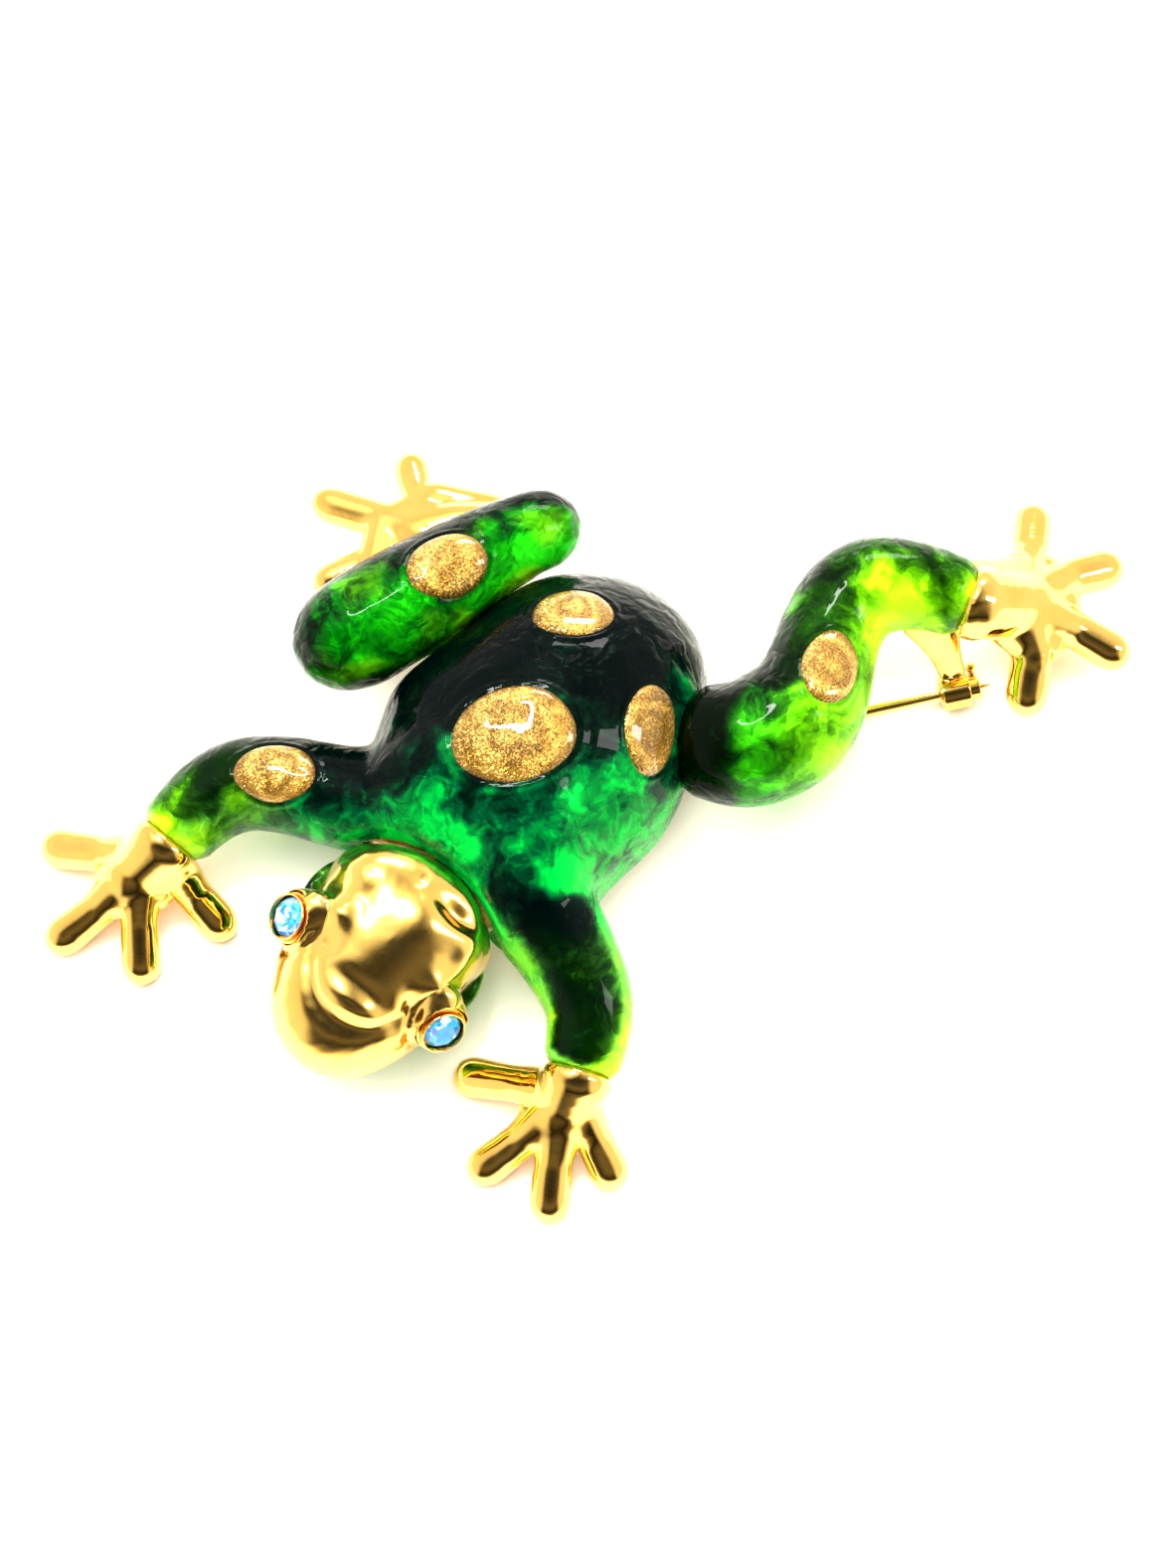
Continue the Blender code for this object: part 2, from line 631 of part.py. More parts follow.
# --------------------------------------------------------------------- head
def head_solid(name, frame, shrink, foot=None, look=None):
    outline = even_outline(mirrored(HEAD_HALF), HEAD_POINTS)
    heights = (HEAD_RIM_Z, HEAD_WIDEST_Z, HEAD_TOP_Z)
    rings = dome_rings(outline, HEAD_CENTRE, heights, shrink, HEAD_LEVELS, foot)
    vertices, faces = dome_shape(rings, HEAD_CENTRE, HEAD_TOP_Z - shrink)
    nape, snout = HEAD_HALF[-1][0], HEAD_HALF[0][0]
    lowered = []
    for x, y, z in vertices:
        forward = (x - nape) / (snout - nape)
        rise = max(0.0, z - HEAD_WIDEST_Z)
        lowered.append((x, y, z - rise * SNOUT_DROP * forward))
    return make_object(name, lowered, faces, frame, look)


def ball(name, place, radius, parent):
    profile = [(0.0, -radius)]
    for k in range(1, BALL_STEPS):
        tilt = pi * k / BALL_STEPS - pi / 2
        profile.append((radius * cos(tilt), radius * sin(tilt)))
    profile.append((0.0, radius))
    item = turned(name, profile, BALL_SIDES, parent)
    item.location = Vector(place) * MM
    return item


def build_head(root):
    """Head shell, with brows and bores for the eye cups; returns its frame."""
    frame = make_empty("head_frame", root, HEAD_PLACE)
    frame.rotation_euler = (radians(HEAD_ROLL), 0.0, radians(HEAD_HEADING))
    head = head_solid("head", frame, 0.0, look=GOLD)
    for side, sign in (("right", 1), ("left", -1)):
        x, y, z = (place + shift for place, shift in zip(EYE_PLACE, BROW_SHIFT))
        boolean(head, ball(side + "_brow", (x, sign * y, z), BROW_R, frame), "UNION")
    boolean(head, head_solid("head_hollow", frame, WALL, HEAD_RIM_Z - CUT_PAST), "DIFFERENCE")
    for side, sign in (("right", 1), ("left", -1)):
        axis = Vector((EYE_AXIS[0], sign * EYE_AXIS[1], EYE_AXIS[2])).normalized()
        place = Vector((EYE_PLACE[0], sign * EYE_PLACE[1], EYE_PLACE[2]))
        start = place - axis * (CUP_DEPTH + FIT)
        bore = rod(side + "_eye_bore", start, axis, EYE_BORE_LENGTH, CUP_R + FIT, frame, EYE_SIDES)
        boolean(head, bore, "DIFFERENCE")
        build_eye(side, place, axis, frame)
    return frame


def build_eye(side, place, axis, frame):
    """Bezel cup and the faceted stone that it holds, on one frame at the girdle."""
    seat = make_empty(side + "_eye_frame", frame, place, facing(axis))
    cup = [(0.0, -CUP_DEPTH)]
    cup += [(CUP_R + r, z - CUP_DEPTH) for r, z in CUP_FOOT]
    cup += [(CUP_R + r, z) for r, z in CUP_RIM]
    cup += [(CUP_BORE_R, CUP_LIP_Z), (CUP_BORE_R, CUP_FLOOR - CUP_DEPTH)]
    cup.append((0.0, CUP_FLOOR - CUP_DEPTH))
    turned(side + "_eye_cup", cup, EYE_SIDES, seat, GOLD)
    stone = [(0.0, CRYSTAL_POINT_Z)]
    stone += [(CRYSTAL_R * share, z) for share, z in CRYSTAL_PROFILE]
    stone.append((0.0, CRYSTAL_PROFILE[-1][1]))
    crystal = turned(side + "_eye_crystal", stone, CRYSTAL_SIDES, seat, CRYSTAL)
    crystal.data.shade_flat()


def head_clearance(frame):
    """Room for the head, a fit's width larger, used to cut the shoulders."""
    return head_solid("head_room", frame, -HEAD_FIT, THROAT_BACK_Z - ROOM_PAST)


def build_throat(frame, body_room):
    outline = even_outline(mirrored(THROAT_HALF), THROAT_POINTS)
    middle = np.array(HEAD_CENTRE)
    rings = []
    for scale, z in THROAT_RINGS:
        ring = middle + (outline - middle) * scale
        rings.append(np.column_stack([ring, np.full(len(ring), z)]))
    throat = make_object("throat", *skin(rings), frame, LIME)
    boolean(throat, body_room, "DIFFERENCE")


# -------------------------------------------------------------------- spots
def build_spots(root):
    """Thin crowned ovals that follow the enamel below them."""
    bpy.context.view_layer.update()
    graph = bpy.context.evaluated_depsgraph_get()
    trees = {}
    for name, host, x, y, half_length, half_width, turn in SPOTS:
        if host not in trees:
            trees[host] = BVHTree.FromObject(bpy.data.objects[host], graph)
        spot_solid(name, root, trees[host], (x, y), (half_length, half_width), radians(turn))


def spot_solid(name, root, tree, centre, half, turn):
    under, over = [], []
    for share in SPOT_SHARES:
        low, high = [], []
        for j in range(SPOT_SIDES):
            angle = 2 * pi * j / SPOT_SIDES
            along = half[0] * share * cos(angle)
            across = half[1] * share * sin(angle)
            x = centre[0] + along * cos(turn) - across * sin(turn)
            y = centre[1] + along * sin(turn) + across * cos(turn)
            point, normal = surface_at(tree, x, y)
            crown = SPOT_EDGE + SPOT_CROWN * sqrt(1.0 - share * share)
            low.append(point + normal * SPOT_GAP)
            high.append(point + normal * (SPOT_GAP + crown))
        under.append(low)
        over.append(high)
    make_object(name, *skin(under[::-1] + over), root, GLITTER)


def surface_at(tree, x, y):
    above = Vector((x, y, ABOVE_ALL)) * MM
    point, normal, _, _ = tree.ray_cast(above, Vector((0, 0, -1)))
    return point / MM, normal


# ----------------------------------------------------------------- hardware
def arc(radius, start, end, steps):
    """Points on an arc in the y-z plane; degrees turn from +y towards +z."""
    points = []
    for k in range(steps + 1):
        angle = radians(start + (end - start) * k / steps)
        points.append((radius * cos(angle), radius * sin(angle)))
    return points


def open_barrel(name, bore, radius, start, length, parent, look):
    """C-shaped barrel along x with its mouth towards the back of the brooch."""
    top = MOUTH_TO + 360.0
    section = arc(radius, MOUTH_FROM, top, BARREL_STEPS) + arc(bore, top, MOUTH_FROM, BARREL_STEPS)
    rings = [[(x, y, z) for y, z in section] for x in (start, start + length)]
    vertices, faces = skin(rings, cap_start=False, cap_end=False)
    count = len(section)
    for j in range(BARREL_STEPS):
        other = count - 1 - j
        faces.append((j, j + 1, other - 1, other))
        faces.append((count + j, count + j + 1, count + other - 1, count + other))
    return make_object(name, vertices, faces, parent, look)


def build_hinge(frame):
    """U-shaped bracket below the back plate, its rivet, and the stem's axis."""
    top = BACK_Z - HINGE_PLACE[2] - FIT
    half = CHEEK_GAP / 2 + CHEEK
    length = BRACKET_LENGTH / 2
    base_outline = [(-length, -half), (length, -half), (length, half), (-length, half)]
    bracket = extruded("hinge_bracket", base_outline, top - BRACKET_BASE, top, frame, GOLD_BACK)
    for side, sign in (("near", -1), ("far", 1)):
        low = sign * CHEEK_GAP / 2
        cheek = cheek_solid("cheek_" + side, low, low + sign * CHEEK, top - CHEEK_SINK, frame)
        boolean(bracket, cheek, "UNION")
    start = (0, -HOLE_LENGTH / 2, 0)
    hole = rod("rivet_hole", start, (0, 1, 0), HOLE_LENGTH, RIVET_R + RIVET_PLAY, frame,
               SMALL_ROD_SIDES)
    boolean(bracket, hole, "DIFFERENCE")

    reach = half + RIVET_PLAY
    end = [(RIVET_R, reach)] + [(r, reach + z) for r, z in RIVET_HEAD]
    end.append((0.0, reach + RIVET_HEAD_TOP))
    profile = [(r, -z) for r, z in reversed(end)] + end
    rivet = turned("hinge_rivet", profile, SMALL_ROD_SIDES, frame, GOLD_BACK)
    rivet.rotation_euler = (radians(-90), 0, 0)


def cheek_solid(name, low, high, top, frame):
    """Bracket cheek with a round end about the rivet, spanning low to high along y."""
    angles = np.linspace(-pi, 0, CHEEK_STEPS)
    rim = [(EYE_RING_R * cos(a), EYE_RING_R * sin(a)) for a in angles]
    outline = rim + [(CHEEK_HALF_TOP, top), (-CHEEK_HALF_TOP, top)]
    rings = [[(x, y, z) for x, z in outline] for y in (low, high)]
    return make_object(name, *skin(rings), frame)


def build_stem(frame):
    """Pin stem: an eye on the rivet and a wire that tapers to a point."""
    half = EYE_WIDTH / 2
    ring = [(EYE_HOLE_R, -half), (EYE_RING_R, -half), (EYE_RING_R, half), (EYE_HOLE_R, half)]
    vertices, faces = lathe(ring, ROD_SIDES)
    upright = Matrix.Rotation(radians(90), 3, "X")
    stem = make_object("pin_stem", [upright @ Vector(v) for v in vertices], faces, frame, GOLD)
    rows = [(x, 0.0, 0.0, r) for x, r in STEM]
    wire = make_object("stem_wire", *skin(tube_rings(rows, STEM_SIDES)), frame)
    boolean(stem, wire, "UNION")


def build_catch(frame, leg_room):
    """Fixed barrel on its post below the shin; the post's top is a saddle."""
    catch = open_barrel("catch", BARREL_BORE_R, BARREL_R, CATCH_START, CATCH_LENGTH, frame, GOLD)
    rings = []
    for x, y, z, thick, wide in POST:
        turns = [2 * pi * j / SMALL_ROD_SIDES for j in range(SMALL_ROD_SIDES)]
        rings.append([(x + wide * cos(turn), y + thick * sin(turn), z) for turn in turns])
    post = make_object("catch_post", *skin(rings), frame)
    boolean(catch, post, "UNION")
    boolean(catch, leg_room, "DIFFERENCE")


def build_sleeve(frame):
    """Turning safety sleeve inside the barrel, with its lever and knob."""
    start = CATCH_START - SLEEVE_LEAD
    length = SLEEVE_LEAD + CATCH_LENGTH + SLEEVE_EXTRA
    sleeve = open_barrel("catch_sleeve", SLEEVE_BORE_R, SLEEVE_R, start, length, frame, GOLD)
    angle = radians(LEVER_ANGLE)
    out = Vector((0.0, cos(angle), sin(angle)))
    place = Vector((CATCH_START + CATCH_LENGTH + LEVER_REACH, 0, 0))
    foot = place + out * (SLEEVE_R - LEVER_SINK)
    lever = rod("sleeve_lever", foot, out, LEVER_LENGTH - SLEEVE_R, LEVER_R, frame, LEVER_SIDES)
    boolean(sleeve, lever, "UNION")
    knob = ball("sleeve_knob", place + out * LEVER_LENGTH, KNOB_R, frame)
    boolean(sleeve, knob, "UNION")


# ------------------------------------------------------------------ assembly
def centre_brooch(root):
    """Move the brooch so that its box is centred on z and its lowest point is at z = 0."""
    bpy.context.view_layer.update()
    graph = bpy.context.evaluated_depsgraph_get()
    low = Vector((float("inf"),) * 3)
    high = -low
    for item in bpy.data.objects:
        if item.type != "MESH" or item.hide_render:
            continue
        shape = item.evaluated_get(graph)
        for vertex in shape.data.vertices:
            point = shape.matrix_world @ vertex.co
            low = Vector(map(min, low, point))
            high = Vector(map(max, high, point))
    root.location = (-(low.x + high.x) / 2, -(low.y + high.y) / 2, -low.z)


def main():
    clear_scene()
    root = make_empty("brooch")
    head_frame = build_head(root)
    build_body(root, head_clearance(head_frame))
    build_back_plate(root)

    body_room = body_outside("body_room", root, -FIT, BACK_Z - ROOM_PAST)
    build_throat(head_frame, body_room)
    build_right_leg(root, body_room)
    build_left_leg(root, body_room)

    build_extremity("left_hand", root, LEFT_HAND, LEFT_ARM)
    build_extremity("right_hand", root, RIGHT_HAND, RIGHT_ARM)
    build_extremity("right_foot", root, RIGHT_FOOT, RIGHT_LEG)
    build_left_foot(root)
    build_spots(root)

    pin_frame = make_empty("pin_frame", root, HINGE_PLACE)
    pin_frame.rotation_euler = (0, 0, radians(STEM_HEADING))
    build_hinge(pin_frame)
    build_stem(pin_frame)
    around_leg = tube_rings(limb(RIGHT_LEG), TUBE_SIDES, -FIT, LEG_ROOM_END)
    leg_room = make_object("leg_room", *skin(around_leg), root)
    build_catch(pin_frame, leg_room)
    build_sleeve(pin_frame)
    centre_brooch(root)


main()
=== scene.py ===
"""Looks of the enamelled frog brooch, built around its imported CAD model.

Fine surfaces are grown from the CAD solids, so every piece keeps its place. Lengths
are in metres, except where a comment or docstring says millimetres.
"""

from math import cos, pi, radians, sin, sqrt

import bmesh
import bpy
import numpy as np
from mathutils import Matrix, Vector
from mathutils.bvhtree import BVHTree


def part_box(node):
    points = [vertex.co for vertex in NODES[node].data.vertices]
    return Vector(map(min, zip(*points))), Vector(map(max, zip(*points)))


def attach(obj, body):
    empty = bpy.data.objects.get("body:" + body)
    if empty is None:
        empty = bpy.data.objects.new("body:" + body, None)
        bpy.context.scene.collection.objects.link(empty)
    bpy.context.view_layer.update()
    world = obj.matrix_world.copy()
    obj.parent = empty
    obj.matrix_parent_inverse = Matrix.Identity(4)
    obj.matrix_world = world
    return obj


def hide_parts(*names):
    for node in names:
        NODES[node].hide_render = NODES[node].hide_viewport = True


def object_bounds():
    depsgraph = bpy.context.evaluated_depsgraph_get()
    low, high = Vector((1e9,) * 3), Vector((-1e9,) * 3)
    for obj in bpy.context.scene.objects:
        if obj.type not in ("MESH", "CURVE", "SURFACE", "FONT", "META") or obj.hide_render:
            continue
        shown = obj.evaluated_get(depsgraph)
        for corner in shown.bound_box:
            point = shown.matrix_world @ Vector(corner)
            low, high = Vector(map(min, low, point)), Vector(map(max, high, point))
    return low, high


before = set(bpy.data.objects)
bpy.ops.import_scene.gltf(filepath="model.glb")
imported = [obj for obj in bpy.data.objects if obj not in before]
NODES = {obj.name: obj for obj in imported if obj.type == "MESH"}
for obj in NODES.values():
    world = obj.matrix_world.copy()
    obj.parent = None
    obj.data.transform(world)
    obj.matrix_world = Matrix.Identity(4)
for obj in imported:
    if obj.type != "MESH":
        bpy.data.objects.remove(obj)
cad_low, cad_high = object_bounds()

MM = 0.001
CENTRE = (cad_low + cad_high) / 2

# ------------------------------------------------------------------ settings
CAMERA_ELEVATION = 70.0
CAMERA_DISTANCE = 350.0 * MM
CAMERA_LENS = 115.8
CAMERA_AIM = Vector((-0.15, 1.9, -1.9)) * MM      # from the middle of the brooch

# Tent brightness by the sine of the elevation, behind the brooch and in front of it.
SKY_REAR = [(0.08, (1.0, 0.985, 0.95)), (0.45, (0.95, 0.94, 0.90)),
            (0.76, (0.74, 0.72, 0.68)), (0.97, (0.12, 0.12, 0.115))]
SKY_FRONT = [(0.01, (1.0, 0.97, 0.90)), (0.10, (0.20, 0.18, 0.15)),
             (0.26, (0.015, 0.014, 0.012)), (0.62, (0.14, 0.125, 0.10)),
             (0.90, (0.03, 0.03, 0.03))]
FRONT_FADE = (0.02, -0.32)                        # Y of a direction, rear to front
WIDTH_FADE = (0.82, 0.52)                         # size of its X, side to middle
SKY_STRENGTH = 1.3
HAZE_FADE = (cos(radians(34)), cos(radians(10)))  # round the lamp's side, edge to core
HAZE = 0.95

WHITE = (1.0, 0.99, 0.97)
LAMP_SIDE = Vector((-0.20, 0.32, 0.92)).normalized()
LAMP_DISTANCE = 0.40
RING_INNER, RING_OUTER = 0.066, 0.080
RING_START, RING_STOP = radians(-40), radians(220)
RING_STEPS = 48
RING_GLOW = 120.0
# Soft boxes: name, width and height, place from the middle of the brooch, and glow.
SOFT_BOXES = (("rear", (0.22, 0.10), (0.10, 0.42, 0.30), 30.0),
              ("right", (0.10, 0.24), (0.46, -0.02, 0.36), 22.0))
FILL_PLACE = Vector((-0.15, 0.1, 0.9))
FILL_SIZE, FILL_POWER = 1.1, 23.0

TABLE_HALF = 2.5
TABLE_GAP = 0.02 * MM

# Fine meshes: merging distance, the bend that counts as a rim, and the gaps to a
# neighbour between which a piece starts to swell.
WELD = 1e-6
RIM_BEND = radians(50)
ROOM_LOOK = 2 * MM
ROOM_CLOSE, ROOM_FREE = 0.35 * MM, 1.3 * MM
GOLD_VOXEL, WIRE_VOXEL, SLEEVE_VOXEL = 0.12, 0.07, 0.05     # millimetres

# Each glitter spot, and the enamel on which it lies.
SPOTS = {"spot_thigh": "left_leg_enamel", "spot_rump": "body_enamel",
         "spot_back": "body_enamel", "spot_hip": "body_enamel",
         "spot_shin": "right_leg_enamel", "spot_arm": "body_enamel"}
SPOT_TURNS, SPOT_ROUNDS = 96, 14
SPOT_CROWN = 0.34 * MM
SPOT_SINK = 0.12 * MM
SPOT_LOOK = 4 * MM                                # how far above it the enamel is sought
LIP_PLACE, LIP_WIDTH = 1.1, 0.06                  # in half sizes of the spot
LIP_HEIGHT = 0.10 * MM
LIP_DEPTH = 2.0 * MM

# Eye cup: its floor above its foot, its shoulder below its top, and its lip's middle
# inside its rim.
CUP_TURNS = 64
CUP_FLOOR = 0.45 * MM
CUP_SHOULDER = 0.42 * MM
CUP_LIP = 0.27 * MM
CUP_LIP_HALF = 0.065 * MM
CUP_LIP_STEPS = 6
# Cut stone, as shares of its depth: girdle above its point, girdle's height, and how
# far the crown's facets begin below the table.
STONE_WAIST, STONE_GIRDLE, STONE_CROWN = 0.62, 0.06, 0.12


# ------------------------------------------------------------ mesh machinery
def new_piece(name, mesh, body, material):
    """An object that rides a body and shows one material in one slot."""
    item = bpy.data.objects.new(name, mesh)
    bpy.context.scene.collection.objects.link(item)
    mesh.materials.clear()
    mesh.materials.append(material)
    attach(item, body)
    return item


def coordinates(mesh):
    """Vertex places as rows of an array."""
    flat = np.empty(len(mesh.vertices) * 3)
    mesh.vertices.foreach_get("co", flat)
    return flat.reshape(-1, 3)


def set_coordinates(mesh, points):
    """Put vertices at the rows of an array."""
    mesh.vertices.foreach_set("co", np.asarray(points, dtype=float).ravel())
    mesh.update()


def normals(mesh):
    """Vertex normals as rows of an array."""
    flat = np.empty(len(mesh.vertices) * 3)
    mesh.vertices.foreach_get("normal", flat)
    return flat.reshape(-1, 3)


def smooth_step(values, low, high):
    """0 below low, 1 above high, and a smooth rise between."""
    share = np.clip((values - low) / (high - low), 0.0, 1.0)
    return share * share * (3.0 - 2.0 * share)


def crease_rims(form, angle):
    """Keep convex edges sharper than an angle when the mesh is subdivided."""
    layer = form.edges.layers.float.new("crease_edge")
    for edge in form.edges:
        if len(edge.link_faces) == 2 and edge.calc_face_angle_signed() > angle:
            edge[layer] = 1.0


def add_webs(form, node, webs):
    """Rounded plates, each the hull of balls, laid out as PALMS says."""
    low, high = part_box(node)
    size = high - low
    for web in webs:
        plate = bmesh.new()
        for x, y, z, radius in web:
            place = Matrix.Translation(low + Vector((size.x * x, size.y * y, size.z * z)))
            bmesh.ops.create_icosphere(plate, subdivisions=2, radius=radius * MM, matrix=place)
        hull = bmesh.ops.convex_hull(plate, input=plate.verts)
        loose = [v for v in hull["geom_interior"] if isinstance(v, bmesh.types.BMVert)]
        bmesh.ops.delete(plate, geom=loose, context="VERTS")
        mesh = bpy.data.meshes.new("web")
        plate.to_mesh(mesh)
        plate.free()
        form.from_mesh(mesh)
        bpy.data.meshes.remove(mesh)


def room_share(points, neighbours):
    """For each point, 0 where a neighbouring CAD node is close and 1 where it is far."""
    share = np.ones(len(points))
    for node in neighbours:
        other = NODES[node].data
        tree = BVHTree.FromPolygons([v.co for v in other.vertices],
                                    [p.vertices for p in other.polygons])
        gaps = [tree.find_nearest(Vector(point), ROOM_LOOK)[3] for point in points]
        gaps = np.array([ROOM_LOOK if gap is None else gap for gap in gaps])
        share = np.minimum(share, smooth_step(gaps, ROOM_CLOSE, ROOM_FREE))
    return share


def refined(node, voxel, passes, swell, levels, webs, neighbours):
    """Fine smooth mesh grown from a CAD node, swollen to make up for smoothing."""
    rough = bmesh.new()
    rough.from_mesh(NODES[node].data)
    bmesh.ops.remove_doubles(rough, verts=rough.verts, dist=WELD)
    crease_rims(rough, RIM_BEND)
    add_webs(rough, node, webs)
    mesh = bpy.data.meshes.new("rough")
    rough.to_mesh(mesh)
    rough.free()
    item = bpy.data.objects.new("rough", mesh)
    bpy.context.scene.collection.objects.link(item)
    if levels:
        rounder = item.modifiers.new("round", "SUBSURF")
        rounder.levels = levels
    grain = item.modifiers.new("grain", "REMESH")
    grain.mode = "VOXEL"
    grain.voxel_size = voxel
    calm = item.modifiers.new("calm", "SMOOTH")
    calm.factor = 0.5
    calm.iterations = passes
    graph = bpy.context.evaluated_depsgraph_get()
    fine = bpy.data.meshes.new_from_object(item.evaluated_get(graph))
    bpy.data.objects.remove(item, do_unlink=True)
    bpy.data.meshes.remove(mesh)
    fine.shade_smooth()
    points = coordinates(fine)
    lift = swell * room_share(points, neighbours)
    set_coordinates(fine, points + normals(fine) * lift[:, None])
    return fine


def recast(node, name, voxel, passes, body, material, swell=0.0, levels=2, webs=(),
           neighbours=()):
    """A fine piece that stands for one CAD node; voxel and swell are in millimetres."""
    mesh = refined(node, voxel * MM, passes, swell * MM, levels, webs, neighbours)
    item = new_piece(name, mesh, body, material)
    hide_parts(node)
    return item


def box_middle(node):
    """Middle of a CAD node's own box."""
    points = coordinates(NODES[node].data)
    return (points.max(axis=0) + points.min(axis=0)) / 2


# ------------------------------------------------------------ node machinery
MIX_A, MIX_B, MIX_COLOUR = 6, 7, 2                # sockets of a Mix node set to colour
MIDDLE_GREY = (0.5, 0.5, 0.5)
SCALAR_RESULTS = ("DISTANCE", "DOT_PRODUCT")


class Graph:
    """Short ways to add nodes to a tree, which read one texture coordinate."""

    def __init__(self, tree, coordinate):
        self.tree = tree
        self.place = self.node("TexCoord").outputs[coordinate]

    def node(self, kind, **settings):
        made = self.tree.nodes.new("ShaderNode" + kind)
        for key, value in settings.items():
            setattr(made, key, value)
        return made

    def put(self, socket, value):
        """Link an output, or set a number or colour, on an input."""
        if isinstance(value, bpy.types.NodeSocket):
            self.tree.links.new(value, socket)
        elif socket.type == "RGBA" and len(value) == 3:
            socket.default_value = (*value, 1.0)
        else:
            socket.default_value = value

    def vector(self, operation, a, b=None, scale=None):
        made = self.node("VectorMath", operation=operation)
        self.put(made.inputs[0], a)
        if b is not None:
            self.put(made.inputs[1], b)
        if scale is not None:
            made.inputs["Scale"].default_value = scale
        return made.outputs["Value" if operation in SCALAR_RESULTS else "Vector"]

    def toward(self, direction):
        """How far the surface faces a direction, from -1 to 1."""
        return self.vector("DOT_PRODUCT", self.geometry("Normal"), direction)

    def geometry(self, output):
        return self.node("NewGeometry").outputs[output]

    def math(self, operation, a, b=0.0):
        made = self.node("Math", operation=operation)
        self.put(made.inputs[0], a)
        self.put(made.inputs[1], b)
        return made.outputs[0]

    def total(self, value, *parts):
        """A value plus other values, each times its weight."""
        for part, weight in parts:
            value = self.math("ADD", value, self.math("MULTIPLY", part, weight))
        return value

    def noise(self, scale, detail=2.0, rough=0.5, twist=0.0, place=None):
        made = self.node("TexNoise")
        self.put(made.inputs["Vector"], place or self.place)
        made.inputs["Scale"].default_value = scale
        made.inputs["Detail"].default_value = detail
        made.inputs["Roughness"].default_value = rough
        made.inputs["Distortion"].default_value = twist
        return made.outputs["Fac"]

    def wander(self, scale, reach):
        """A smooth random offset of up to half the reach."""
        made = self.node("TexNoise")
        self.put(made.inputs["Vector"], self.place)
        made.inputs["Scale"].default_value = scale
        centred = self.vector("SUBTRACT", made.outputs["Color"], MIDDLE_GREY)
        return self.vector("SCALE", centred, scale=reach)

    def cells(self, scale, output="Distance", place=None):
        made = self.node("TexVoronoi")
        self.put(made.inputs["Vector"], place or self.place)
        made.inputs["Scale"].default_value = scale
        return made.outputs[output]

    def span(self, value, low, high, to_low=0.0, to_high=1.0):
        """Smooth step of a value from one range to another."""
        made = self.node("MapRange", interpolation_type="SMOOTHSTEP")
        for socket, number in zip(made.inputs, (value, low, high, to_low, to_high)):
            self.put(socket, number)
        return made.outputs[0]

    def ramp(self, value, *stops):
        made = self.node("ValToRGB")
        points = made.color_ramp.elements
        while len(points) < len(stops):
            points.new(0.5)
        for point, (position, colour) in zip(points, stops):
            point.position = position
            point.color = (*colour, 1.0)
        self.put(made.inputs["Fac"], value)
        return made.outputs["Color"]

    def mix(self, share, a, b, kind="MIX"):
        made = self.node("Mix", data_type="RGBA", blend_type=kind)
        self.put(made.inputs["Factor"], share)
        self.put(made.inputs[MIX_A], a)
        self.put(made.inputs[MIX_B], b)
        return made.outputs[MIX_COLOUR]

    def first(self, colour):
        """The first channel of a colour, as a number."""
        made = self.node("SeparateColor")
        self.put(made.inputs[0], colour)
        return made.outputs[0]

    def axis(self, index):
        made = self.node("SeparateXYZ")
        self.put(made.inputs[0], self.place)
        return made.outputs[index]

    def bump(self, height, strength, distance, base=None):
        made = self.node("Bump")
        made.inputs["Strength"].default_value = strength
        made.inputs["Distance"].default_value = distance * MM
        self.put(made.inputs["Height"], height)
        if base is not None:
            self.put(made.inputs["Normal"], base)
        return made.outputs["Normal"]


class Look(Graph):
    """A Principled material whose texture space is in millimetres."""

    def __init__(self, name, **values):
        self.material = bpy.data.materials.new(name)
        self.material.use_nodes = True
        super().__init__(self.material.node_tree, "Object")
        self.place = self.vector("SCALE", self.place, scale=1.0 / MM)
        self.shader = self.tree.nodes["Principled BSDF"]
        for key, value in values.items():
            self.shader.inputs[key.replace("_", " ")].default_value = value

    def set(self, name, value):
        self.put(self.shader.inputs[name], value)


# ------------------------------------------------------------------- colours
# Colour ramps of each enamel, from its painted shade at 0 to its painted light at 1.
EMERALD_STEPS = ((0.0, (0.0, 0.001, 0.001)), (0.25, (0.0, 0.008, 0.003)),
                 (0.5, (0.0, 0.040, 0.011)), (0.75, (0.0, 0.15, 0.018)),
                 (1.0, (0.0, 0.44, 0.035)))
GREEN_STEPS = ((0.0, (0.0, 0.001, 0.0)), (0.25, (0.0, 0.012, 0.001)),
               (0.5, (0.0, 0.065, 0.001)), (0.75, (0.002, 0.17, 0.001)),
               (1.0, (0.01, 0.44, 0.003)))
LIME_STEPS = ((0.0, (0.001, 0.010, 0.0)), (0.25, (0.012, 0.07, 0.0)),
              (0.5, (0.06, 0.23, 0.0)), (0.75, (0.15, 0.42, 0.001)),
              (1.0, (0.38, 0.68, 0.008)))
GOLD_COLOUR = (1.0, 0.63, 0.15)
GOLD_DEEP = (0.95, 0.50, 0.07)
WIRE_DEEP = (0.40, 0.16, 0.02)

# The side of the enamel that is painted lighter, and how much painted light, painted shade,
# painted glints and random tone each add to its colour.
LIT_SIDE = (0.18, -0.55, -0.45)
SIDE_LIMIT, SIDE_SHARE = 0.30, 0.55
DRIFT_SHARE, RIDGE_SHARE, FACET_SHARE, PAINTED_GLINT_SHARE, GRAIN_SHARE = 1.5, 0.8, 0.15, 0.10, 0.42
GLOW_DARK, GLOW_FULL = 0.62, 1.42
FOLD_RELIEF, CRUMPLE_RELIEF = 2.2, 0.35


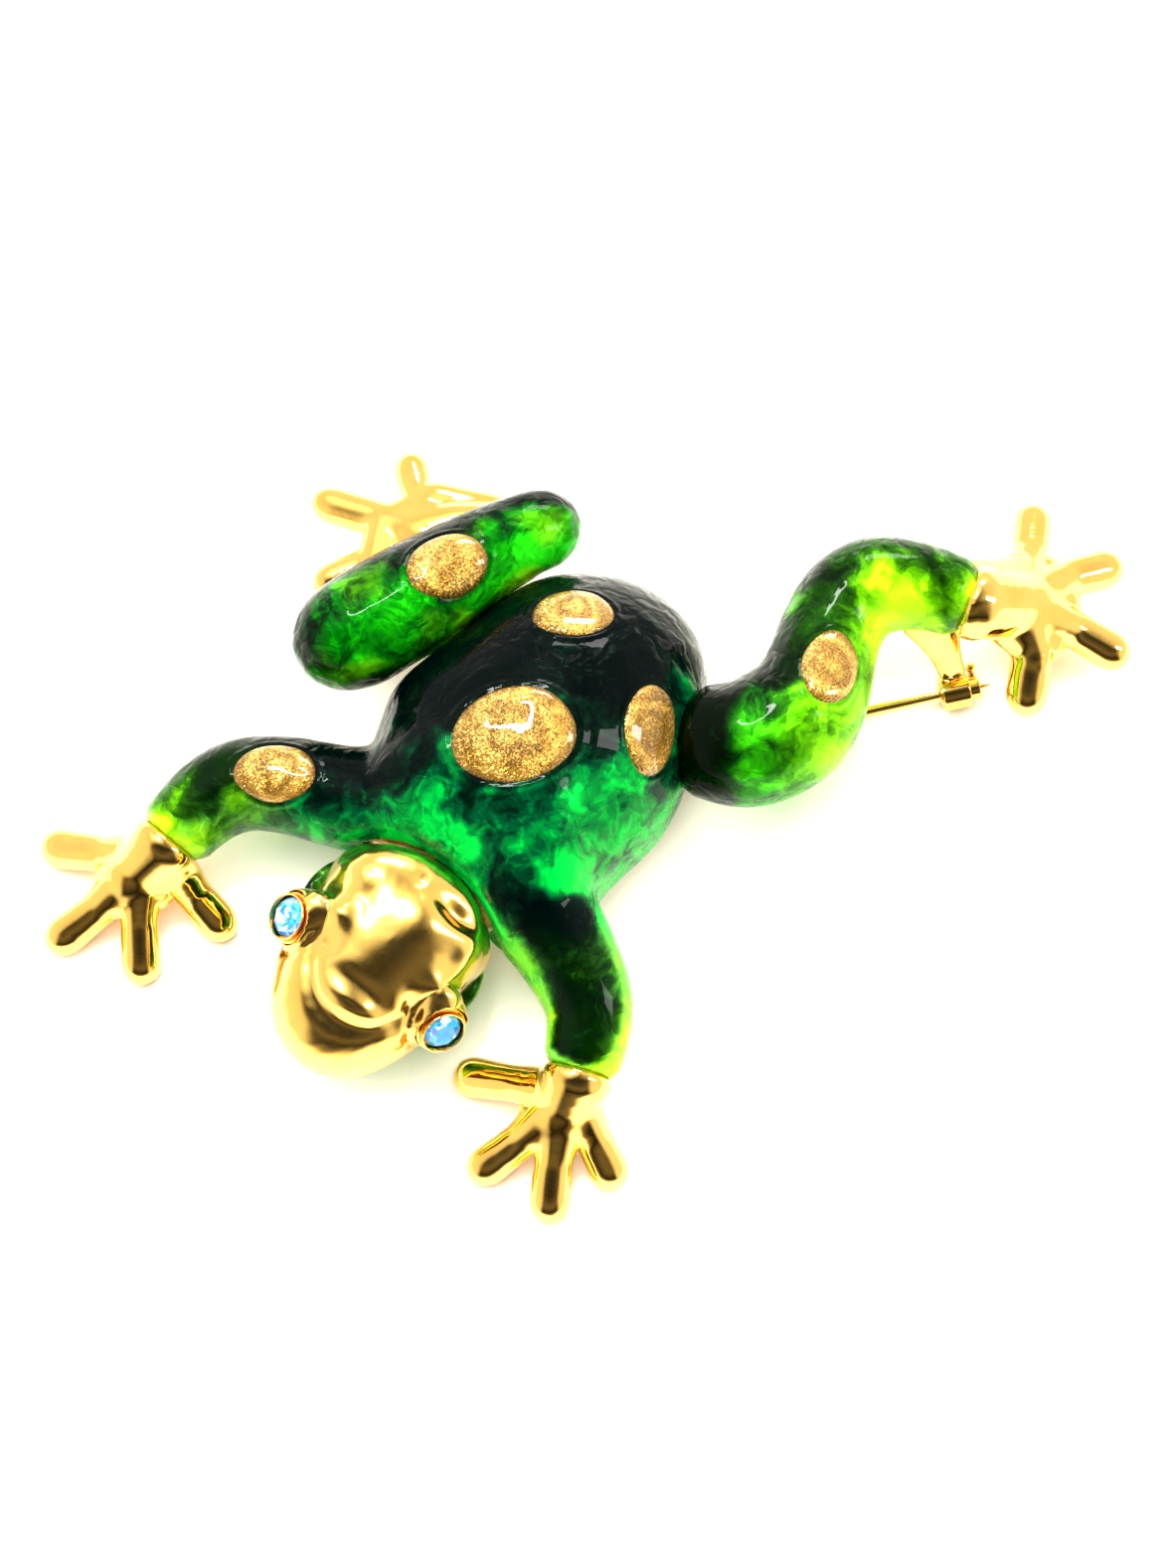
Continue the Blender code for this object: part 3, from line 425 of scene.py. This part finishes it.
def enamel(name, steps, lime_of, shade_of):
    """Clear coloured enamel over foil, its colour painted dark on the side where light enters and
    painted bright on the far side.

    lime_of and shade_of give nodes for the turn to lime and for painted shade.
    """
    look = Look(name, Metallic=0.12, Coat_Weight=0.2, Coat_Roughness=0.02, Coat_IOR=1.36,
                Specular_Tint=(0.02, 0.16, 0.03, 1.0), Specular_IOR_Level=0.05)
    bent = look.vector("ADD", look.place, look.wander(0.25, 4.0))
    drift = look.noise(0.17, 2.0, 0.5, 0.3, bent)
    folds = look.noise(0.34, 2.0, 0.5, 0.2, bent)
    grain = look.noise(1.3, 4.0, 0.62, 0.6, bent)
    ridge = look.math("ABSOLUTE", look.math("SUBTRACT", folds, 0.5))
    # Painted glints: bright lines along the crests of the folds, only in noise patches.
    crest = look.span(ridge, 0.0, 0.03, 1.0, 0.0)
    foil = look.span(look.noise(0.13, 1.0), 0.44, 0.62)
    painted_glint = look.math("MULTIPLY", crest, foil)
    creased = look.vector("ADD", look.place, look.wander(0.5, 2.2))
    creased = look.vector("MULTIPLY", creased, (1.0, 0.4, 0.7))
    facet = look.first(look.cells(0.85, "Color", creased))
    # Painted light and shade: faces turned to LIT_SIDE are painted lighter, the rest darker, and
    # shade_of subtracts more painted shade.
    side = look.math("MINIMUM", look.toward(LIT_SIDE), SIDE_LIMIT)
    glow = look.math("SUBTRACT", look.math("MULTIPLY", side, SIDE_SHARE), shade_of(look))
    glow = look.total(glow, (drift, DRIFT_SHARE), (ridge, RIDGE_SHARE), (facet, FACET_SHARE),
                      (painted_glint, PAINTED_GLINT_SHARE), (grain, GRAIN_SHARE))
    # The sum picks the colour, from near black where painted shade is deepest to bright where
    # painted light is strongest.
    share = look.span(glow, GLOW_DARK, GLOW_FULL)
    colour = look.mix(lime_of(look), look.ramp(share, *steps), look.ramp(share, *LIME_STEPS))
    look.set("Base Color", colour)
    fine = look.noise(2.4, 2.0, 0.5)
    look.set("Roughness", look.span(fine, 0.3, 0.7, 0.16, 0.28))
    height = look.total(look.math("MULTIPLY", ridge, FOLD_RELIEF),
                        (look.cells(0.7, place=bent), CRUMPLE_RELIEF))
    look.set("Normal", look.bump(height, 0.6, 0.5))
    return look.material


def body_shade(look):
    """Painted shade over the rump and along the top of the right arm, and painted light on the
    arm's edges.
    """
    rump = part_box("spot_rump")[0].y / MM
    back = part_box("spot_back")[0].y / MM
    behind = look.span(look.axis(1), back, rump + 1.0, 0.0, 0.26)
    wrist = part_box("right_hand")[1].y / MM
    # Painted shade where the arm faces up, painted light where its sides turn away.
    crest = look.span(look.toward((0.0, 0.0, 1.0)), 0.4, 0.88, -0.30, 0.36)
    along = look.span(look.axis(1), wrist + 11.0, wrist + 6.0)
    return look.math("ADD", behind, look.math("MULTIPLY", along, crest))


def leg_shade(look):
    """Painted shade, darkest where the stretched leg leaves the hip, with a little painted light
    further along.
    """
    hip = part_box("right_leg_enamel")[0].x / MM
    return look.span(look.axis(0), hip + 1.0, hip + 5.5, 0.42, -0.08)


def folded_shade(look):
    """Painted light round the knee and the thigh's spot, painted shade away from both."""
    low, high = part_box("left_leg_enamel")
    size = high - low
    knee = low + Vector((size.x * 0.24, size.y * 0.34, size.z * 0.9))
    thigh = low + Vector((size.x * 0.80, size.y * 0.62, size.z * 0.9))
    near = look.math("MINIMUM", look.vector("DISTANCE", look.place, tuple(knee / MM)),
                     look.math("ADD", look.vector("DISTANCE", look.place, tuple(thigh / MM)), 1.2))
    return look.span(near, 1.2, 6.0, -0.22, 0.16)


def throat_shade(look):
    """Slow light and dark patches."""
    return look.span(look.noise(0.2, 1.0), 0.3, 0.7, 0.0, 0.2)


def body_lime(look):
    """Lime grows along each arm towards its wrist."""
    arm_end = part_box("left_hand")[1].x / MM
    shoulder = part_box("spot_arm")[1].x / MM
    along_left = look.span(look.axis(0), shoulder - 1.0, arm_end - 1.0)
    right_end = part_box("right_hand")[1].y / MM
    along_right = look.span(look.axis(1), right_end + 8.0, right_end - 0.5)
    patch = look.span(look.noise(0.3, 2.0), 0.3, 0.6, 0.35, 1.0)
    return look.math("MULTIPLY", look.math("MAXIMUM", along_left, along_right), patch)


def right_leg_lime(look):
    """Lime from the knee to the ankle."""
    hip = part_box("right_leg_enamel")[0].x / MM
    along = look.span(look.axis(0), hip + 5.5, hip + 15.0, 0.08, 1.25)
    return look.math("MULTIPLY", along, look.span(look.noise(0.25, 2.0), 0.35, 0.65, 0.55, 1.0))


def throat_lime(look):
    """Lime almost all over."""
    return look.span(look.noise(0.3, 1.0), 0.3, 0.6, 0.5, 1.0)


def left_leg_lime(look):
    """A few lime patches."""
    return look.span(look.noise(0.22, 1.0), 0.5, 0.75, 0.0, 0.5)


def gold(name, roughness=0.06, wave=0.10, grain=0.012, deep=GOLD_DEEP):
    """Polished plate with soft casting waves, fine wipe marks and warmer patches."""
    look = Look(name, Metallic=1.0)
    slow = look.noise(0.45, 2.0)
    tone = look.span(look.noise(0.5, 2.0), 0.3, 0.75, 0.0, 0.45)
    look.set("Base Color", look.mix(tone, GOLD_COLOUR, deep))
    marks = look.noise(9.0, 4.0, 0.65)
    look.set("Roughness", look.span(marks, 0.3, 0.75, roughness * 0.7, roughness * 1.8))
    waves = look.bump(slow, wave, 0.25)
    look.set("Normal", look.bump(marks, grain, 0.02, waves))
    return look.material


def back_gold(name):
    """Satin plate as cast: pebbled, a little tarnished in patches."""
    look = Look(name, Metallic=1.0)
    pebbles = look.cells(2.2)
    stain = look.span(look.noise(0.5, 4.0, 0.6), 0.4, 0.68)
    look.set("Base Color", look.mix(stain, (0.90, 0.60, 0.22), (0.55, 0.34, 0.12)))
    look.set("Roughness", look.span(look.noise(4.0, 3.0), 0.3, 0.7, 0.24, 0.42))
    look.set("Normal", look.bump(pebbles, 0.35, 0.12))
    return look.material


def glitter(name, centre, size):
    """Fine gold flakes that each face another way, in darker and lighter rings round the spot's
    middle, under gloss.
    """
    look = Look(name, Metallic=0.75, Roughness=0.36, Coat_Weight=0.7, Coat_Roughness=0.03)
    flake = look.cells(11.0, "Color")
    tint = look.first(flake)
    bent = look.vector("ADD", look.place, look.wander(0.5, size * 0.9))
    reach = look.vector("DISTANCE", bent, tuple(centre))
    wave = look.math("SINE", look.math("MULTIPLY", reach, 12.5 / size))
    ring_noise = look.noise(0.8, 2.0, 0.5, 1.0)
    swirl = look.total(look.math("MULTIPLY", look.span(wave, -1.0, 1.0), 0.34), (ring_noise, 0.22))
    level = look.total(swirl, (tint, 0.50))
    look.set("Base Color", look.ramp(
        level, (0.0, (0.06, 0.025, 0.002)), (0.35, (0.24, 0.12, 0.012)),
        (0.7, (0.45, 0.235, 0.03)), (1.0, (0.84, 0.52, 0.13))))
    tilt = look.vector("SCALE", look.vector("SUBTRACT", flake, MIDDLE_GREY), scale=0.9)
    tilted = look.vector("ADD", look.geometry("Normal"), tilt)
    look.set("Normal", look.vector("NORMALIZE", tilted))
    return look.material


def crystal(name):
    """Foiled sky-blue stone, coloured facet by facet from each facet's direction: the blue and
    lilac of its coating, and painted white flashes.
    """
    look = Look(name, Metallic=0.3, Roughness=0.05, Coat_Weight=0.4, Coat_Roughness=0.02)
    turn = look.vector("DOT_PRODUCT", look.geometry("True Normal"), (7.3, -5.1, 3.7))
    cloud = look.noise(1.4, 3.0, 0.6, 1.0)
    share = look.math("FRACT", look.total(look.math("FRACT", turn), (cloud, 0.8)))
    look.set("Base Color", look.ramp(
        share, (0.0, (0.005, 0.14, 0.55)), (0.3, (0.01, 0.32, 0.72)),
        (0.55, (0.08, 0.50, 0.75)), (0.74, (0.20, 0.18, 0.66)), (0.88, (0.50, 0.70, 0.85)),
        (1.0, (0.005, 0.22, 0.65))))
    look.set("Normal", look.bump(cloud, 0.08, 0.1))
    return look.material


def floor_look():
    """Pale paper that is clear from below, so the underside can be seen."""
    look = Look("table_paper", Roughness=0.6)
    look.set("Base Color", look.ramp(look.noise(0.08, 3.0), (0.3, (0.93, 0.90, 0.80)),
                                     (0.7, (0.95, 0.92, 0.83))))
    clear = look.node("BsdfTransparent")
    choice = look.node("MixShader")
    for socket, value in zip(choice.inputs, (look.geometry("Backfacing"),
                                             look.shader.outputs[0], clear.outputs[0])):
        look.put(socket, value)
    look.put(look.tree.nodes["Material Output"].inputs["Surface"], choice.outputs[0])
    return look.material


# ------------------------------------------------------------------- enamels
def spot_frame(node):
    """Middle, long axis, cross axis, out axis and half sizes of a glitter spot."""
    points = coordinates(NODES[node].data)
    middle = points.mean(axis=0)
    axes = np.linalg.eigh(np.cov((points - middle).T))[1]
    out, along = Vector(axes[:, 0]), Vector(axes[:, 2])
    if out.z < 0:
        out = -out
    across = out.cross(along)
    local = (points - middle) @ np.array([along, across, out]).T
    half = (local.max(axis=0) - local.min(axis=0)) / 2
    return Vector(middle), along, across, out, half


def raise_rims(mesh, spots):
    """A soft raised lip of enamel round each spot."""
    points = coordinates(mesh)
    lift = np.zeros(len(points))
    for node in spots:
        middle, along, across, out, half = spot_frame(node)
        local = (points - np.array(middle)) @ np.array([along, across, out]).T
        reach = np.hypot(local[:, 0] / half[0], local[:, 1] / half[1])
        near = np.abs(local[:, 2]) < LIP_DEPTH
        lip = np.exp(-(((reach - LIP_PLACE) / LIP_WIDTH) ** 2)) * LIP_HEIGHT
        lift += np.where(near, lip, 0.0)
    set_coordinates(mesh, points + normals(mesh) * lift[:, None])


def make_spot(node, host):
    """Crowned oval of glitter that follows the fine enamel below it."""
    middle, along, across, out, half = spot_frame(node)
    tree = BVHTree.FromObject(host, bpy.context.evaluated_depsgraph_get())
    form = bmesh.new()
    rows = []
    for level in range(SPOT_ROUNDS + 1):
        share = 1.0 - level / SPOT_ROUNDS
        row = []
        for j in range(SPOT_TURNS if level < SPOT_ROUNDS else 1):
            angle = 2 * pi * j / SPOT_TURNS
            # Two slow waves make the edge look poured by hand, another way on each spot.
            wobble = 1.0 + 0.012 * sin(3 * angle + half[0] * 9000) + 0.008 * sin(5 * angle)
            start = middle + along * (half[0] * share * cos(angle) * wobble)
            start = start + across * (half[1] * share * sin(angle) * wobble)
            hit, facing, _, _ = tree.ray_cast(start + out * SPOT_LOOK, -out)
            crown = SPOT_CROWN * sqrt(max(0.0, 1.0 - share ** 3)) if level else 0.0
            row.append(form.verts.new(hit + facing * crown))
        rows.append(row)
    under = [form.verts.new(vertex.co - out * SPOT_SINK) for vertex in rows[0]]
    for low, high in zip([under] + rows[:-2], rows[:-1]):
        for j in range(SPOT_TURNS):
            k = (j + 1) % SPOT_TURNS
            form.faces.new((low[j], low[k], high[k], high[j]))
    for j in range(SPOT_TURNS):
        form.faces.new((rows[-2][j], rows[-2][(j + 1) % SPOT_TURNS], rows[-1][0]))
    form.faces.new(list(reversed(under)))
    bmesh.ops.recalc_face_normals(form, faces=form.faces)
    mesh = bpy.data.meshes.new(node + "_glitter")
    form.to_mesh(mesh)
    form.free()
    mesh.shade_smooth()
    material = glitter(node + "_look", middle / MM, half[0] / MM)
    item = new_piece(node + "_glitter", mesh, "frog", material)
    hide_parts(node)


def build_enamels():
    """The four enamels with their rims, and the spots that lie on them."""
    # CAD node, piece, voxel, smoothing passes, slot, colours, lime, shade, swell, neighbours
    coats = (
        ("body_enamel", "body_coat", 0.2, 45, "green_enamel", "body_enamel_look",
         EMERALD_STEPS, body_lime, body_shade, 0.28, ("head", "left_hand", "right_hand")),
        ("right_leg_enamel", "right_leg_coat", 0.18, 30, "lime_enamel", "right_leg_look",
         GREEN_STEPS, right_leg_lime, leg_shade, 0.28, ("body_enamel", "right_foot")),
        ("left_leg_enamel", "left_leg_coat", 0.18, 30, "green_enamel", "left_leg_look",
         GREEN_STEPS, left_leg_lime, folded_shade, 0.28, ("body_enamel", "left_foot")),
        ("throat", "throat_coat", 0.18, 8, "lime_enamel", "throat_look",
         GREEN_STEPS, throat_lime, throat_shade, 0.15, ("body_enamel",)),
    )
    made = {}
    for node, name, voxel, passes, slot, look, steps, lime, shade, swell, others in coats:
        material = enamel(look, steps, lime, shade)
        made[node] = recast(node, name, voxel, passes, "frog", material, swell=swell,
                            neighbours=others)
        raise_rims(made[node].data, [spot for spot, host in SPOTS.items() if host == node])
    for spot, host in SPOTS.items():
        make_spot(spot, made[host])


# ---------------------------------------------------------------------- gold
# Palms and the webs between the fingers: balls at x, y, z fractions of the node's box,
# and their radius in millimetres.
PALMS = {
    "left_hand": [
        [(0.49, 0.58, 0.50, 1.7), (0.37, 0.62, 0.38, 1.0), (0.43, 0.46, 0.38, 1.0)],
        [(0.49, 0.58, 0.50, 1.7), (0.43, 0.46, 0.38, 1.0), (0.60, 0.52, 0.40, 1.0)],
    ],
    "right_hand": [
        [(0.62, 0.56, 0.50, 1.7), (0.48, 0.62, 0.40, 1.0), (0.52, 0.47, 0.38, 1.0)],
        [(0.62, 0.56, 0.50, 1.7), (0.52, 0.47, 0.38, 1.0), (0.69, 0.48, 0.38, 1.0)],
    ],
    "left_foot": [
        [(0.52, 0.70, 0.46, 1.25), (0.88, 0.60, 0.50, 1.1), (0.31, 0.54, 0.44, 1.2),
         (0.27, 0.28, 0.42, 1.1), (0.60, 0.42, 0.48, 1.3)],
    ],
    "right_foot": [
        [(0.52, 0.46, 0.36, 1.8), (0.60, 0.65, 0.27, 1.0), (0.69, 0.50, 0.26, 1.0)],
        [(0.52, 0.46, 0.36, 1.8), (0.69, 0.50, 0.26, 1.0), (0.60, 0.30, 0.26, 1.0)],
        [(0.52, 0.46, 0.36, 1.6), (0.53, 0.22, 0.28, 1.1)],
        [(0.27, 0.48, 0.62, 2.0), (0.52, 0.46, 0.38, 1.8), (0.50, 0.63, 0.34, 1.2)],
        [(0.27, 0.48, 0.62, 2.0), (0.52, 0.46, 0.38, 1.8), (0.50, 0.30, 0.34, 1.2)],
    ],
}
USUAL_SMOOTHING = 45                              # passes
SMOOTHING = {"left_foot": 80}                     # where not the usual number


def head_frame():
    """Middle between the eyes, and the head's forward, across and up directions."""
    left, right = box_middle("left_eye_cup"), box_middle("right_eye_cup")
    middle = Vector((left + right) / 2)
    across = Vector(right - left).normalized()
    forward = across.cross(Vector((0, 0, 1))).normalized()
    if forward.dot(Vector(box_middle("head")) - middle) > 0:
        forward = -forward
    up = forward.cross(across)
    if up.z < 0:
        up = -up
    return middle, forward, across, up


HEAD_RELIEF = [
    # forward, across, half length, half width and height of a swelling, in millimetres
    (-6.6, -0.8, 0.45, 0.45, -0.14),
    (-6.3, 2.9, 0.9, 2.0, -0.80),
    (-3.2, -5.4, 0.9, 1.4, -0.50),
    (-4.4, 0.9, 2.2, 1.7, 0.42),
    (-3.4, -3.0, 1.3, 1.0, -0.22),
    (-3.2, 4.2, 1.3, 0.9, -0.22),
    (-1.4, -3.9, 0.9, 1.0, 0.50),
    (-1.4, 4.5, 0.9, 1.0, 0.50),
    (0.6, -3.4, 0.8, 0.8, -0.36),
    (0.6, 3.8, 0.8, 0.8, -0.36),
    (3.0, 0.7, 0.7, 2.2, 0.34),
    (3.0, 0.4, 0.2, 0.7, -0.08),
    (1.7, 0.5, 0.6, 2.3, -0.18),
]
# How much fuller the crown is than a dome, and ovals of the head seen from above, in
# the same frame: how far back the middle lies, half length and half width. The mouth's
# groove runs along a share of the first oval.
HEAD_CROWN = 3.2
MOUTH_OVAL = (2.0, 9.0, 6.4)
MOUTH_PLACE, MOUTH_WIDTH, MOUTH_DEPTH = 0.72, 0.07, 0.32
CROWN_OVAL = (2.2, 7.3, 6.4)
ROUND, FULL = 2, 8                                # powers of the two crown outlines


def oval_reach(local, back, long, wide):
    """Distance from an oval's middle, where 1 is its edge."""
    return np.hypot((local[:, 0] + back) / long, local[:, 1] / wide)


def sculpt_head(mesh):
    """Fuller crown behind, brows, dents, muzzle and the mouth's groove on the fine head."""
    middle, forward, across, up = head_frame()
    points = coordinates(mesh)
    local = (points - np.array(middle)) @ np.array([forward, across, up]).T / MM
    outward = normals(mesh)
    facing = smooth_step(outward @ np.array(up), 0.0, 0.5)
    lift = np.zeros(len(points))
    for x, y, long, wide, height in HEAD_RELIEF:
        reach = np.hypot((local[:, 0] - x) / long, (local[:, 1] - y) / wide)
        lift += height * np.exp(-(reach ** 2)) * facing
    groove = np.exp(-(((oval_reach(local, *MOUTH_OVAL) - MOUTH_PLACE) / MOUTH_WIDTH) ** 2))
    groove *= smooth_step(local[:, 0], 0.0, 2.5)
    lift -= MOUTH_DEPTH * groove * smooth_step(outward @ np.array(up), -0.2, 0.3)
    inside = np.clip(oval_reach(local, *CROWN_OVAL), 0.0, 1.0)
    fuller = np.sqrt(1.0 - inside ** FULL) - np.sqrt(1.0 - inside ** ROUND)
    crown = HEAD_CROWN * fuller * smooth_step(-local[:, 0], 0.0, 3.0) * facing
    moved = outward * (lift * MM)[:, None] + np.array(up) * (crown * MM)[:, None]
    set_coordinates(mesh, points + moved)


def turned_mesh(name, profile, segments, matrix):
    """Closed turned mesh from a profile of radius and height."""
    form = bmesh.new()
    rings = []
    for r, z in profile:
        count = segments if r > 0 else 1
        rings.append([
            form.verts.new(matrix @ Vector((r * cos(2 * pi * j / segments),
                                            r * sin(2 * pi * j / segments), z)))
            for j in range(count)
        ])
    for low, high in zip(rings, rings[1:]):
        for j in range(segments):
            k = (j + 1) % segments
            corners = [low[j % len(low)], low[k % len(low)],
                       high[k % len(high)], high[j % len(high)]]
            unique = list(dict.fromkeys(corners))
            if len(unique) > 2:
                form.faces.new(unique)
    bmesh.ops.recalc_face_normals(form, faces=form.faces)
    mesh = bpy.data.meshes.new(name)
    form.to_mesh(mesh)
    form.free()
    mesh.shade_smooth()
    mesh.set_sharp_from_angle(angle=RIM_BEND)
    return mesh


def eye_frame(side):
    """Matrix from the cup's middle with +Z along its axis, and that middle and axis."""
    cup = coordinates(NODES[side + "_eye_cup"].data)
    stone = coordinates(NODES[side + "_eye_crystal"].data)
    middle = Vector(cup.mean(axis=0))
    axis = (Vector(stone.mean(axis=0)) - middle).normalized()
    turn = axis.to_track_quat("Z", "Y").to_matrix().to_4x4()
    return Matrix.Translation(middle) @ turn, middle, axis


def spans(node, middle, axis):
    """Lowest and highest place of a CAD node along an axis, and its radius round it."""
    offset = coordinates(NODES[node].data) - np.array(middle)
    along = offset @ np.array(axis)
    away = np.linalg.norm(offset - along[:, None] * np.array(axis), axis=1)
    return along.min(), along.max(), away.max()


def build_bezel(side, material):
    """Cup with a rounded lip above a stepped shoulder."""
    matrix, middle, axis = eye_frame(side)
    low, high, radius = spans(side + "_eye_cup", middle, axis)
    shoulder = high - CUP_SHOULDER
    lip, half = radius - CUP_LIP, CUP_LIP_HALF
    profile = [(0.0, low), (radius - 0.2 * MM, low), (radius, low + 0.25 * MM),
               (radius, shoulder - 0.2 * MM), (radius - 0.05 * MM, shoulder - 0.06 * MM),
               (radius - 0.17 * MM, shoulder), (radius - 0.24 * MM, shoulder - 0.08 * MM)]
    for k in range(CUP_LIP_STEPS + 1):
        bend = pi * k / CUP_LIP_STEPS
        profile.append((lip + half * cos(bend), high - half + half * sin(bend)))
    profile += [(lip - half, low + CUP_FLOOR), (0.0, low + CUP_FLOOR)]
    mesh = turned_mesh(side + "_bezel", profile, CUP_TURNS, matrix)
    cup = new_piece(side + "_bezel", mesh, "frog", material)
    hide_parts(side + "_eye_cup")


def build_stone(side, material):
    """Cut stone: table, crown, girdle and pavilion, as the hull of their corners."""
    matrix, middle, axis = eye_frame(side)
    bottom, top, girdle = spans(side + "_eye_crystal", middle, axis)
    depth = top - bottom
    waist = bottom + depth * STONE_WAIST
    # share of the girdle's radius, height, corners, and turn in corners
    levels = [
        (0.56, top, 8, 0.5), (0.80, top - STONE_CROWN * depth, 8, 0.0),
        (1.0, waist + STONE_GIRDLE * depth, 16, 0.0), (1.0, waist, 16, 0.0),
        (0.55, bottom + 0.35 * (waist - bottom), 8, 0.5),
    ]
    form = bmesh.new()
    for share, height, count, offset in levels:
        for j in range(count):
            angle = 2 * pi * (j + offset) / count
            form.verts.new(matrix @ Vector((girdle * share * cos(angle),
                                            girdle * share * sin(angle), height)))
    form.verts.new(matrix @ Vector((0, 0, bottom)))
    bmesh.ops.convex_hull(form, input=form.verts)
    bmesh.ops.recalc_face_normals(form, faces=form.faces)
    mesh = bpy.data.meshes.new(side + "_stone")
    form.to_mesh(mesh)
    form.free()
    gem = new_piece(side + "_stone", mesh, "frog", material)
    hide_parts(side + "_eye_crystal")


def build_gold():
    """Head, hands and feet, and the eyes."""
    shine = gold("polished_gold_look")
    crown = gold("head_gold_look", 0.13, 0.05, 0.03)
    head = recast("head", "head_shell", GOLD_VOXEL, 24, "frog", crown,
                  swell=0.18, neighbours=("body_enamel", "left_eye_cup", "right_eye_cup"))
    sculpt_head(head.data)
    for node, webs in PALMS.items():
        passes = SMOOTHING.get(node, USUAL_SMOOTHING)
        piece = recast(node, node + "_casting", GOLD_VOXEL, passes, "frog",
                       shine, swell=0.42, levels=0, webs=webs)
        points = coordinates(piece.data)
        points[:, 2] = np.maximum(points[:, 2], cad_low.z)
        set_coordinates(piece.data, points)
    stone = crystal("crystal_look")
    for side in ("left", "right"):
        build_bezel(side, shine)
        build_stone(side, stone)


# ------------------------------------------------------------------ hardware
def build_hardware():
    """Pin and catch in bright gold; castings and back carried over in satin gold."""
    wire = gold("pin_gold_look", 0.08, 0.03, 0.02, deep=WIRE_DEEP)
    recast("pin_stem", "pin_wire", WIRE_VOXEL, 5, "pin", wire, swell=0.02)
    recast("catch", "catch_hook", WIRE_VOXEL, 5, "frog", wire)
    recast("catch_sleeve", "sleeve_turned", SLEEVE_VOXEL, 4, "safety_sleeve", wire)
    rough = back_gold("back_gold_look")
    for node in ("body_casting", "right_leg_casting", "left_leg_casting", "back_plate",
                 "hinge_bracket", "hinge_rivet"):
        NODES[node].data.materials.clear()
        NODES[node].data.materials.append(rough)


# --------------------------------------------------------------------- stage
def stage_plane(name, points, faces, material):
    """A flat thing that is not part of the brooch."""
    mesh = bpy.data.meshes.new(name)
    mesh.from_pydata(points, [], faces)
    mesh.materials.append(material)
    item = bpy.data.objects.new(name, mesh)
    bpy.context.scene.collection.objects.link(item)


def build_stage():
    """The table on which the brooch lies."""
    points, faces = box_shape(2 * TABLE_HALF, 2 * TABLE_HALF)
    level = cad_low.z - TABLE_GAP
    stage_plane("table", [(x, y, level) for x, y in points], faces, floor_look())


def fill_light():
    """Broad soft light that gives no mirror image of itself."""
    data = bpy.data.lights.new("fill", "AREA")
    data.size = FILL_SIZE
    data.energy = FILL_POWER
    lamp = bpy.data.objects.new("fill", data)
    bpy.context.scene.collection.objects.link(lamp)
    lamp.location = CENTRE + FILL_PLACE
    lamp.rotation_euler = (-FILL_PLACE).to_track_quat("-Z", "Y").to_euler()
    lamp.visible_glossy = False


def glow_look(name, strength):
    """Plain white glow for a lit card."""
    material = bpy.data.materials.new(name)
    material.use_nodes = True
    shader = material.node_tree.nodes["Principled BSDF"]
    shader.inputs["Base Color"].default_value = (0, 0, 0, 1)
    shader.inputs["Emission Color"].default_value = (*WHITE, 1)
    shader.inputs["Emission Strength"].default_value = strength
    return material


def card(name, shape, place, material):
    """Flat lit card that faces the brooch, drawn on its own plane."""
    turn = (-place).to_track_quat("Z", "Y").to_matrix()
    points, faces = shape
    points = [CENTRE + place + turn @ Vector((x, y, 0)) for x, y in points]
    stage_plane(name, points, faces, material)


def ring_shape():
    """Points and faces of the ring lamp, which is open at one side."""
    sweep = RING_STOP - RING_START
    angles = [RING_START + sweep * k / RING_STEPS for k in range(RING_STEPS + 1)]
    points = [(r * cos(a), r * sin(a)) for a in angles for r in (RING_INNER, RING_OUTER)]
    faces = [(2 * k, 2 * k + 1, 2 * k + 3, 2 * k + 2) for k in range(RING_STEPS)]
    return points, faces


def box_shape(width, height):
    """Points and face of a rectangle round the origin."""
    x, y = width / 2, height / 2
    return [(-x, -y), (x, -y), (x, y), (-x, y)], [(0, 1, 2, 3)]


def build_sky():
    """White tent, with a dark opening in front and a pale haze round the lamp's side."""
    world = bpy.data.worlds.new("tent")
    bpy.context.scene.world = world
    world.use_nodes = True
    sky = Graph(world.node_tree, "Generated")
    front = sky.span(sky.axis(1), *FRONT_FADE)
    narrow = sky.span(sky.math("ABSOLUTE", sky.axis(0)), *WIDTH_FADE)
    height = sky.axis(2)
    tent = sky.mix(sky.math("MULTIPLY", front, narrow), sky.ramp(height, *SKY_REAR),
                   sky.ramp(height, *SKY_FRONT))
    toward = sky.vector("DOT_PRODUCT", sky.place, LAMP_SIDE)
    haze = sky.span(toward, *HAZE_FADE, 0.0, HAZE)
    back = world.node_tree.nodes["Background"]
    sky.put(back.inputs["Color"], sky.mix(1.0, tent, haze, "ADD"))
    back.inputs["Strength"].default_value = SKY_STRENGTH


def build_light():
    """An open ring lamp, two soft boxes and a broad fill, inside the tent."""
    build_sky()
    card("ring_lamp", ring_shape(), LAMP_SIDE * LAMP_DISTANCE, glow_look("ring_glow", RING_GLOW))
    for name, size, place, glow in SOFT_BOXES:
        card(name + "_box", box_shape(*size), Vector(place), glow_look(name + "_glow", glow))
    fill_light()


def build_camera():
    """The photo's view, from above and a little in front of the frog's head."""
    data = bpy.data.cameras.new("camera")
    data.lens = CAMERA_LENS
    data.clip_start = 0.01
    data.clip_end = 10.0
    camera = bpy.data.objects.new("camera", data)
    bpy.context.scene.collection.objects.link(camera)
    lift = radians(CAMERA_ELEVATION)
    back = Vector((0.0, -cos(lift), sin(lift)))
    camera.location = CENTRE + CAMERA_AIM + back * CAMERA_DISTANCE
    camera.rotation_euler = (-back).to_track_quat("-Z", "Y").to_euler()
    bpy.context.scene.camera = camera


build_camera()
build_light()
build_stage()
build_enamels()
build_gold()
build_hardware()
bpy.context.scene.view_settings.view_transform = "Standard"
